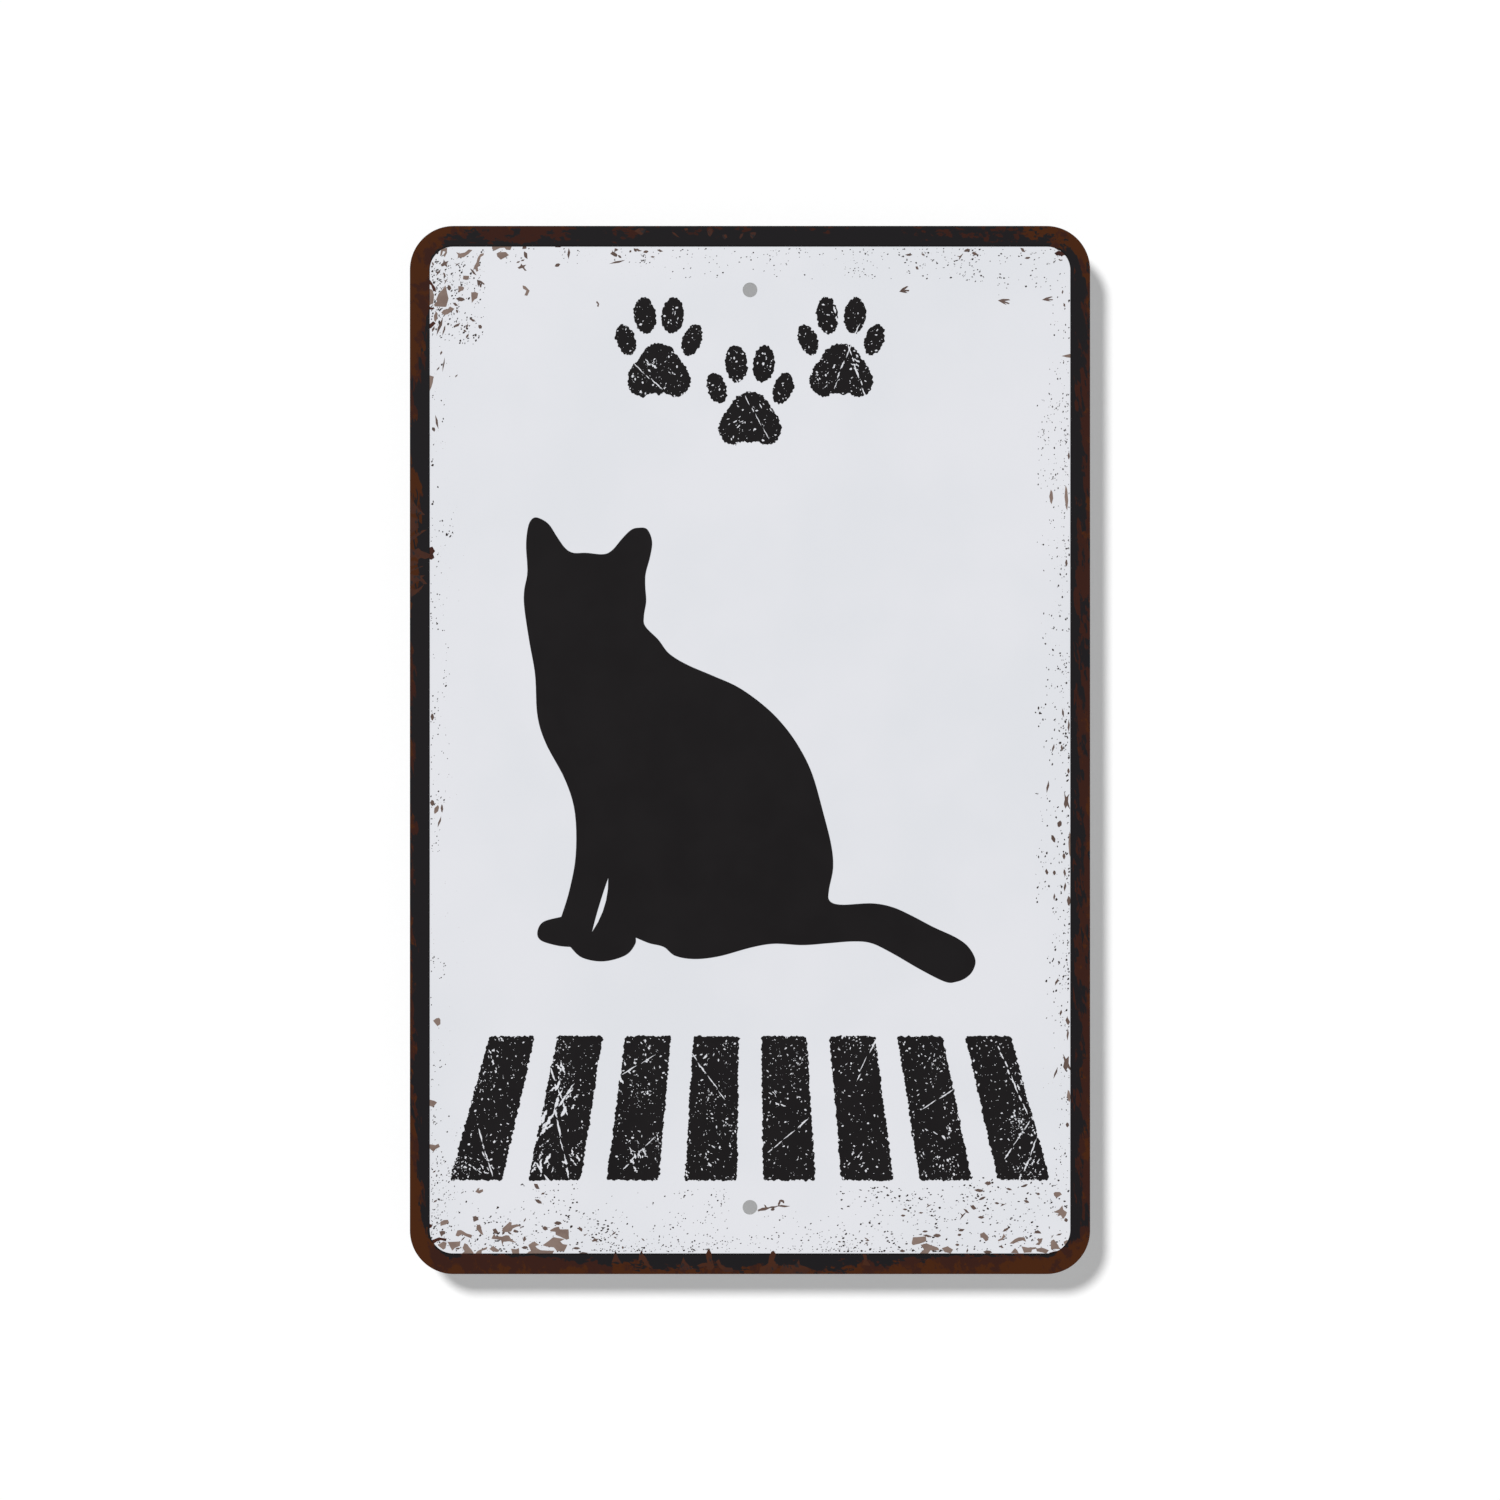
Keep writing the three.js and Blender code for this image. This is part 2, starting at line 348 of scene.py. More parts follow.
class NodeBench(NodeTable):
    """Lays out the shader nodes of one finish, on the piece's own Object coordinates."""

    def __init__(self, name: str) -> None:
        """Start a material.

        Args:
            name: its name.
        """
        self.material = bpy.data.materials.new(name)
        super().__init__(self.material)
        self.shader = self.nodes["Principled BSDF"]
        self.place = self.add("ShaderNodeTexCoord").outputs["Object"]
        self.across, self.inwards, self.up = self.add("ShaderNodeSeparateXYZ", {0: self.place}).outputs

    def ease(self, value: Socket, low: float, high: float) -> Socket:
        """Rise smoothly from nought at low to one at high, or fall if high is below low."""
        feeds = {"Value": value, "From Min": low, "From Max": high}
        return self.add("ShaderNodeMapRange", feeds, interpolation_type="SMOOTHSTEP").outputs[0]

    def blend(self, share: Any, first: Any, second: Any) -> Socket:
        """Blend two colours; a share of one gives the second."""
        feeds = {0: share, 6: first, 7: second}
        return self.add("ShaderNodeMix", feeds, data_type="RGBA").outputs[2]

    def between(self, share: Any, first: Any, second: Any) -> Socket:
        """Blend two numbers; a share of one gives the second."""
        return self.add("ShaderNodeMix", {0: share, 2: first, 3: second}).outputs[0]

    def sway(self, middle: float, pattern: Socket, reach: float) -> Socket:
        """A number that a pattern moves up and down by half the reach."""
        return self.calc("MULTIPLY_ADD", pattern, reach, middle - reach / 2)

    def stretched(self, scale: tuple[float, float, float], turn: float = 0.0) -> Socket:
        """Turn and scale the object coordinates.

        Args:
            scale: how much they are scaled across, in depth and up.
            turn: degrees that they are turned in the sign's plane first.

        Returns:
            The coordinates.
        """
        turned = self.add(
            "ShaderNodeVectorRotate",
            {"Vector": self.place, "Angle": math.radians(turn)},
            rotation_type="Y_AXIS",
        ).outputs[0]
        feeds = {0: turned, 1: scale}
        return self.add("ShaderNodeVectorMath", feeds, operation="MULTIPLY").outputs[0]

    def noise(self, vector: Socket, scale: float, detail: float = 3.0, rough: float = 0.55) -> Socket:
        """Cloudy noise of this many features to the metre."""
        feeds = {"Vector": vector, "Scale": scale, "Detail": detail, "Roughness": rough}
        return self.add("ShaderNodeTexNoise", feeds).outputs["Fac"]

    def cells(self, vector: Socket, scale: float, metric: str = "EUCLIDEAN") -> bpy.types.Node:
        """Cells of this many to the metre, with their distances, colours and places."""
        feeds = {"Vector": vector, "Scale": scale}
        return self.add("ShaderNodeTexVoronoi", feeds, distance=metric)

    def depth_in(self, corner: float) -> Socket:
        """How far in from the sheet's outline a point lies.

        Args:
            corner: the corner radius that the measure follows, and its furthest reach, in mm.

        Returns:
            The depth in millimetres, nought at the outline.
        """
        beyond = []
        for axis, half in ((self.across, SHEET_HALF_WIDTH), (self.up, SHEET_HALF_HEIGHT)):
            length = self.calc("ABSOLUTE", axis)
            past = self.calc("SUBTRACT", self.calc("DIVIDE", length, MM), half - corner)
            beyond.append(self.calc("MAXIMUM", past, 0.0))
        square = self.calc("MULTIPLY", beyond[0], beyond[0])
        reach = self.calc("SQRT", self.calc("MULTIPLY_ADD", beyond[1], beyond[1], square))
        return self.calc("SUBTRACT", corner, reach)

    def bump(self, height: Socket, strength: float, distance: float) -> None:
        """Raise the finish by a height map; distance is in metres."""
        feeds = {"Height": height, "Strength": strength, "Distance": distance}
        self.feed(self.shader.inputs["Normal"], self.add("ShaderNodeBump", feeds).outputs[0])

    def gloss(self, roughness: Any, specular: float, metallic: float = 0.0) -> None:
        """Set how the finish shines.

        Args:
            roughness: how dull it is, a number or a socket.
            specular: how strongly it reflects.
            metallic: one for bare metal.
        """
        self.feed(self.shader.inputs["Roughness"], roughness)
        self.feed(self.shader.inputs["Specular IOR Level"], specular)
        self.feed(self.shader.inputs["Metallic"], metallic)

    def colour(self, value: Any) -> None:
        """Set the finish's colour."""
        self.feed(self.shader.inputs["Base Color"], value)


@dataclass(frozen=True)
class SatinPaint:
    """Cool white paint film, faintly mottled, dusted with fine dark specks near its edges.

    Attributes:
        mottle: the colour that the film clouds over to.
        dust_reach: how far in from the border the dust reaches, in millimetres.
        grain_share: the most of its cells that hold a grain of dust.
        grain_size: a grain's least size, and what chance adds to it, as shares of a cell.
        unevenness: how much its roughness varies in all.
    """

    colour: Colour = paint(227, 228, 233)
    mottle: Colour = paint(223, 225, 230)
    dust: Colour = paint(150, 138, 132)
    dust_reach: float = 11.0
    grain_share: float = 0.55
    grain_size: Band = (0.1, 0.16)
    roughness: float = 0.42
    unevenness: float = 0.1
    specular: float = 0.3

    def mix(self) -> bpy.types.Material:
        """Lay out the paint's nodes.

        Returns:
            The material.
        """
        bench = NodeBench("satin_white_coat")
        depth = bench.depth_in(SHEET_CORNER + self.dust_reach + BORDER_WIDTH)
        near = bench.ease(depth, BORDER_WIDTH + self.dust_reach, BORDER_WIDTH)
        drifts = bench.ease(bench.noise(bench.place, scale=45.0, detail=2.0), low=0.42, high=0.68)
        crowding = bench.calc("MULTIPLY", near, drifts)
        grains = bench.cells(bench.place, scale=1500.0, metric="MANHATTAN")
        lot, size, _ = bench.add("ShaderNodeSeparateColor", {0: grains.outputs["Color"]}).outputs
        present = bench.calc("LESS_THAN", lot, bench.calc("MULTIPLY", crowding, self.grain_share))
        least, more = self.grain_size
        reach = bench.calc("MULTIPLY_ADD", size, more, least)
        inside = bench.calc("LESS_THAN", grains.outputs["Distance"], reach)
        speck = bench.calc("MULTIPLY", present, inside)
        cloud = bench.noise(bench.place, scale=18.0)
        film = bench.blend(bench.ease(cloud, low=0.35, high=0.65), self.colour, self.mottle)
        bench.colour(bench.blend(speck, film, self.dust))
        bench.gloss(bench.sway(self.roughness, cloud, self.unevenness), self.specular)
        bench.bump(bench.noise(bench.place, scale=900.0, detail=2.0), strength=0.08, distance=0.02 * MM)
        return bench.material


@dataclass(frozen=True)
class BlackInk:
    """Satin black ink. A worn one lets pinpricks of the coat show through.

    Attributes:
        mottle: the colour that it clouds over to.
        bare: the coat's colour, in the pinpricks that go through.
        faint: its colour where it is only thin.
        waver: how far the pinpricks' outlines waver, in metres.
        bare_share: share of its cells with a pinprick that goes through.
        thin_share: share of its cells with a pinprick of either kind.
        prick_size: a pinprick's least size, and what chance adds to it, as shares of a cell.
        unevenness: how much its roughness varies in all.
    """

    name: str
    worn: bool
    colour: Colour = paint(23, 21, 22)
    mottle: Colour = paint(26, 24, 25)
    bare: Colour = paint(227, 228, 233)
    faint: Colour = paint(60, 58, 59)
    waver: float = 0.7 * MM
    bare_share: float = 0.16
    thin_share: float = 0.3
    prick_size: Band = (0.06, 0.14)
    roughness: float = 0.5
    unevenness: float = 0.12
    specular: float = 0.05

    def mix(self) -> bpy.types.Material:
        """Lay out the ink's nodes.

        Returns:
            The material.
        """
        bench = NodeBench(self.name)
        cloud = bench.noise(bench.place, scale=60.0)
        film = bench.blend(bench.ease(cloud, low=0.3, high=0.7), self.colour, self.mottle)
        if self.worn:
            sway = bench.add("ShaderNodeTexNoise", {"Vector": bench.place, "Scale": 1700.0})
            feeds = {0: sway.outputs["Color"], 1: (self.waver,) * 3, 2: bench.place}
            wavy = bench.add("ShaderNodeVectorMath", feeds, operation="MULTIPLY_ADD").outputs[0]
            pricks = bench.cells(wavy, scale=1150.0)
            lot, size, _ = bench.add("ShaderNodeSeparateColor", {0: pricks.outputs["Color"]}).outputs
            least, more = self.prick_size
            reach = bench.calc("MULTIPLY_ADD", size, more, least)
            inside = bench.calc("LESS_THAN", pricks.outputs["Distance"], reach)
            for most, shade in ((self.thin_share, self.faint), (self.bare_share, self.bare)):
                chosen = bench.calc("MULTIPLY", inside, bench.calc("LESS_THAN", lot, most))
                film = bench.blend(chosen, film, shade)
        bench.colour(film)
        bench.gloss(bench.sway(self.roughness, cloud, self.unevenness), self.specular)
        bench.bump(bench.noise(bench.place, scale=1100.0, detail=2.0), strength=0.06, distance=0.02 * MM)
        return bench.material


@dataclass(frozen=True)
class RustRun:
    """How much of one side of the border is rust, and how bright it is, at stops along the side.

    Attributes:
        half_length: half the side's length, in millimetres.
        hug: how strongly the rust keeps to the outer edge.
        stops: a place along the side, in millimetres, the share of rust and its brightness there.
    """

    half_length: float
    hug: float
    stops: tuple[tuple[float, float, float], ...]

    def along(self, bench: NodeBench, axis: Socket) -> Socket:
        """Lay out the ramp.

        Args:
            bench: the finish that it belongs to.
            axis: the coordinate along the side, in metres.

        Returns:
            The share of rust as red, its brightness as green and its hug as blue.
        """
        reach = self.half_length * MM
        feeds = {"Value": axis, "From Min": -reach, "From Max": reach}
        node = bench.add("ShaderNodeValToRGB", {0: bench.add("ShaderNodeMapRange", feeds).outputs[0]})
        steps = node.color_ramp.elements
        for index, (place, share, brightness) in enumerate(self.stops):
            spot = (place / self.half_length + 1) / 2
            step = steps[index] if index < len(steps) else steps.new(spot)
            step.position = spot
            step.color = (share, brightness, self.hug, 1.0)
        return node.outputs[0]


@dataclass(frozen=True)
class RustedInk:
    """Black border ink broken by angular patches of rust, brightest along the outer edge.

    Attributes:
        lip: a darker ink in a thin line along the panel's edge, painted shade where the border meets the
            panel.
        brown: the dull rust's colour, and rust the bright one's.
        upper: how the rust runs along the upper side, and so on for the other three.
        lip_fade: how much less rust there is along the panel.
        corner_blend: half the width, at a corner, in which two sides' rust blends, in millimetres.
        softness: share of soft noise in the angular patches.
        patchiness: how strongly the patches gather the rust.
        vein: the middle level of the veins that brighten and dull it.
        veining: how strongly they do.
        outer_glow: how much brighter it is along the outer edge.
        rust_roughness: what rust adds to the ink's roughness.
        relief: how high rust stands, against the height of the patches.
    """

    ink: Colour = paint(24, 22, 24)
    # Painted shade: a darker ink for a thin line along the panel's edge
    lip: Colour = paint(15, 13, 14)
    brown: Colour = paint(53, 27, 20)
    rust: Colour = paint(68, 34, 13)
    upper: RustRun = RustRun(
        SHEET_HALF_WIDTH,
        0.22,
        ((-98.9, 0.86, 0.66), (-90, 0.66, 0.55), (-84, 0.55, 0.2), (-62, 0.52, 0.1), (-54, 0.4, 0),
         (-36, 0.36, 0), (-24, 0.24, 0), (40, 0.24, 0), (48, 0.38, 0), (74, 0.4, 0.05),
         (82, 0.54, 0.65), (98.9, 0.66, 0.75)),
    )
    lower: RustRun = RustRun(
        SHEET_HALF_WIDTH,
        0.68,
        ((-98.9, 0.95, 0.7), (-88, 0.92, 0.35), (-64, 0.86, 0.3), (-52, 0.6, 0.4), (-36, 0.52, 0.5),
         (-28, 0.4, 0.45), (-18, 0.34, 0.3), (-12, 0.42, 0.4), (-3, 0.34, 0.5), (4, 0.45, 0.5),
         (16, 0.42, 0.5), (21, 0.32, 0.4), (28, 0.44, 0.5), (40, 0.5, 0.45), (58, 0.78, 0.5),
         (70, 0.95, 0.58), (98.9, 0.95, 0.68)),
    )
    left: RustRun = RustRun(
        SHEET_HALF_HEIGHT,
        0.8,
        ((-152.4, 1.05, 0.7), (-144, 0.9, 0.7), (-136, 0.6, 0.65), (-122, 0.43, 0.55),
         (-108, 0.33, 0.4), (-90, 0.26, 0.3), (-60, 0.18, 0.3), (40, 0.18, 0.3), (46, 0.35, 0.8),
         (74, 0.38, 0.8), (79, 0.34, 0.8), (82, 0.06, 0.5), (93, 0.08, 0.4), (98, 0.4, 0.35),
         (106, 0.48, 0.35), (116, 0.54, 0.4), (124, 0.8, 0.6), (130, 1.05, 0.62),
         (152.4, 1.02, 0.68)),
    )
    right: RustRun = RustRun(
        SHEET_HALF_HEIGHT,
        0.34,
        ((-152.4, 0.9, 0.8), (-144, 0.75, 0.6), (-138, 0.48, 0.15), (-120, 0.46, 0.15),
         (-100, 0.52, 0.25), (-20, 0.5, 0.22), (60, 0.5, 0.12), (90, 0.46, 0.05), (124, 0.4, 0.05),
         (140, 0.48, 0.4), (146, 0.58, 0.7), (152.4, 0.64, 0.75)),
    )
    lip_fade: float = 0.2
    corner_blend: float = 2.0
    softness: float = 0.3
    patchiness: float = 2.3
    vein: float = 0.62
    veining: float = 2.6
    outer_glow: float = 0.5
    roughness: float = 0.5
    rust_roughness: float = 0.15
    relief: float = 0.4
    specular: float = 0.06

    def mix(self) -> bpy.types.Material:
        """Lay out the border's nodes.

        Returns:
            The material.
        """
        bench = NodeBench("rusted_border_ink")
        depth = bench.calc("DIVIDE", bench.depth_in(SHEET_CORNER), BORDER_WIDTH)
        outer = bench.calc("SUBTRACT", 1.0, depth)
        upright = self._upright(bench)
        above = bench.calc("GREATER_THAN", bench.up, 0.0)
        beside = bench.calc("GREATER_THAN", bench.across, 0.0)
        level = bench.blend(
            above, self.lower.along(bench, bench.across), self.upper.along(bench, bench.across)
        )
        steep = bench.blend(beside, self.left.along(bench, bench.up), self.right.along(bench, bench.up))
        run = bench.blend(upright, level, steep)
        share, brightness, hug = bench.add("ShaderNodeSeparateColor", {0: run}).outputs
        hugged = self._moved(bench, share, outer, HALF, hug)
        near_lip = bench.ease(depth, low=0.75, high=1.0)
        share = bench.calc("MULTIPLY_ADD", near_lip, -self.lip_fade, hugged)
        patches = bench.between(
            upright,
            self._patches(bench, scale=(0.55, 1.0, 1.0), turn=-8.0),
            self._patches(bench, scale=(1.0, 1.0, 0.28), turn=9.0),
        )
        amount = self._moved(bench, share, patches, HALF, self.patchiness)
        rusty = bench.ease(amount, low=0.48, high=0.53)
        grain = bench.stretched((0.8, 1.0, 0.6), turn=20.0)
        veins = bench.noise(grain, scale=330.0, detail=5.0, rough=0.7)
        veined = self._moved(bench, brightness, veins, self.vein, self.veining)
        bright = bench.calc("MULTIPLY_ADD", outer, self.outer_glow, veined)
        tone = bench.blend(bench.ease(bright, low=0.38, high=0.6), self.brown, self.rust)
        # Painted shade: the ink darkens in a thin line along the panel's edge
        ink_and_painted_edge_shade = bench.blend(bench.ease(depth, low=0.92, high=0.95), self.ink, self.lip)
        bench.colour(bench.blend(rusty, ink_and_painted_edge_shade, tone))
        roughness = bench.calc("MULTIPLY_ADD", rusty, self.rust_roughness, self.roughness)
        bench.gloss(roughness, self.specular)
        relief = bench.calc("MULTIPLY_ADD", rusty, self.relief, patches)
        bench.bump(relief, strength=0.15, distance=0.03 * MM)
        return bench.material

    def _moved(
        self, bench: NodeBench, level: Socket, pattern: Socket, middle: float, strength: Any
    ) -> Socket:
        """Move a level by how far a pattern lies from its middle, times a strength."""
        return bench.calc("MULTIPLY_ADD", bench.calc("SUBTRACT", pattern, middle), strength, level)

    def _upright(self, bench: NodeBench) -> Socket:
        """Tell the border's upright sides from its level ones.

        Args:
            bench: the finish that it belongs to.

        Returns:
            One on the left and right sides, nought on the upper and lower ones.
        """
        past = []
        for axis, half in ((bench.across, SHEET_HALF_WIDTH), (bench.up, SHEET_HALF_HEIGHT)):
            length = bench.calc("ABSOLUTE", axis)
            past.append(bench.calc("SUBTRACT", length, (half - SHEET_CORNER) * MM))
        reach = self.corner_blend * MM
        return bench.ease(bench.calc("SUBTRACT", *past), -reach, reach)

    def _patches(self, bench: NodeBench, scale: tuple[float, float, float], turn: float) -> Socket:
        """Angular blotches: noise that is sampled once for each small cell.

        Args:
            bench: the finish that they belong to.
            scale: stretch of the pattern across, in depth and up.
            turn: lean of the pattern, in degrees.

        Returns:
            The pattern, from nought to one.
        """
        spread = bench.stretched(scale, turn)
        shards = bench.cells(spread, scale=1350.0).outputs["Position"]
        angular = bench.noise(shards, scale=330.0, detail=4.0, rough=0.72)
        soft = bench.noise(spread, scale=600.0, detail=5.0, rough=0.75)
        return bench.between(self.softness, angular, soft)


@dataclass(frozen=True)
class ChipInk:
    """Flat ink of the chips, bites and tongues that are printed on the sheet.

    Attributes:
        edge: the colour that it clouds over to.
        torn: how far it is torn, as the level of its noise under which the black ink shows.
        tear_edge: how much lower the noise is where it shows in full.
        under: the black ink's colour.
        unevenness: how much its roughness varies in all.
    """

    name: str
    colour: Colour
    edge: Colour
    torn: float = 0.0
    tear_edge: float = 0.03
    under: Colour = paint(28, 23, 24)
    roughness: float = 0.5
    unevenness: float = 0.1
    specular: float = 0.12

    def mix(self) -> bpy.types.Material:
        """Lay out the ink's nodes.

        Returns:
            The material.
        """
        bench = NodeBench(self.name)
        cloud = bench.noise(bench.place, scale=240.0, detail=4.0, rough=0.65)
        film = bench.blend(bench.ease(cloud, low=0.35, high=0.7), self.colour, self.edge)
        if self.torn:
            spread = bench.stretched((1.0, 1.0, 0.6), turn=25.0)
            shards = bench.cells(spread, scale=2200.0).outputs["Position"]
            tears = bench.noise(shards, scale=520.0, detail=4.0, rough=0.7)
            gone = bench.ease(tears, self.torn, self.torn - self.tear_edge)
            film = bench.blend(gone, film, self.under)
        bench.colour(film)
        bench.gloss(bench.sway(self.roughness, cloud, self.unevenness), self.specular)
        bench.bump(bench.noise(bench.place, scale=1600.0, detail=2.0), strength=0.1, distance=0.02 * MM)
        return bench.material


@dataclass(frozen=True)
class MillAluminium:
    """Bare rolled aluminium with fine upright rolling lines, duller where it is cut.

    Attributes:
        dark: the rolled face's colour in its rolling lines.
        cut: colour of the sheet's cut sides and of its holes' walls.
        skin: how deep from the back the rolled face ends, in metres.
        smudging: how much the rolled face's roughness varies in all.
        line_roughness: what the rolling lines add to it at most.
    """

    colour: Colour = (0.66, 0.67, 0.68, 1.0)
    dark: Colour = (0.56, 0.57, 0.585, 1.0)
    cut: Colour = (0.3, 0.305, 0.31, 1.0)
    skin: float = 0.03 * MM
    roughness: float = 0.34
    smudging: float = 0.16
    line_roughness: float = 0.08
    cut_roughness: float = 0.75

    def mix(self) -> bpy.types.Material:
        """Lay out the metal's nodes.

        Returns:
            The material.
        """
        bench = NodeBench("mill_aluminium")
        lines = bench.noise(bench.stretched((1.0, 1.0, 0.012)), scale=2600.0, detail=4.0, rough=0.6)
        bands = bench.noise(bench.stretched((1.0, 1.0, 0.05)), scale=90.0, rough=0.5)
        smudge = bench.noise(bench.place, scale=25.0, rough=0.6)
        shade = bench.between(HALF, lines, bands)
        rolled = bench.ease(bench.inwards, -self.skin, -self.skin / 4)
        face = bench.blend(bench.ease(shade, low=0.3, high=0.7), self.dark, self.colour)
        bench.colour(bench.blend(rolled, self.cut, face))
        smudged = bench.sway(self.roughness, smudge, self.smudging)
        rough = bench.calc("MULTIPLY_ADD", lines, self.line_roughness, smudged)
        bench.gloss(bench.between(rolled, self.cut_roughness, rough), specular=0.5, metallic=1.0)
        bench.bump(lines, strength=0.12, distance=0.01 * MM)
        return bench.material


@dataclass(frozen=True)
class Chip:
    """One chip printed on the panel, its sizes in millimetres and its turn anticlockwise in degrees."""

    cut: Cut
    spot: Point
    length: float
    width: float
    turn: float = 0


@dataclass(frozen=True)
class SpeckPatch:
    """A patch of the panel, given by its four sides, that is peppered with specks.

    Attributes:
        largest: width of its largest specks, in millimetres.
        lean: degrees that its long specks lean, anticlockwise from level.
    """

    left: float
    right: float
    low: float
    high: float
    count: int
    largest: float
    lean: float
    crowd: Crowd


@dataclass(frozen=True)
class Scratch:
    """A run of slivers torn out of the ink from one point on the sign to another."""

    start: Point
    end: Point
    width: float


@dataclass(frozen=True)
class CrackPatch:
    """A patch of ink that has come away in short wriggling cracks.

    Attributes:
        reach: how far its cracks stray from its spot, in millimetres.
        lean: degrees that they lean, anticlockwise from level.
        longest: length of its longest cracks, in millimetres.
    """

    spot: Point
    reach: float
    count: int
    lean: float
    longest: float


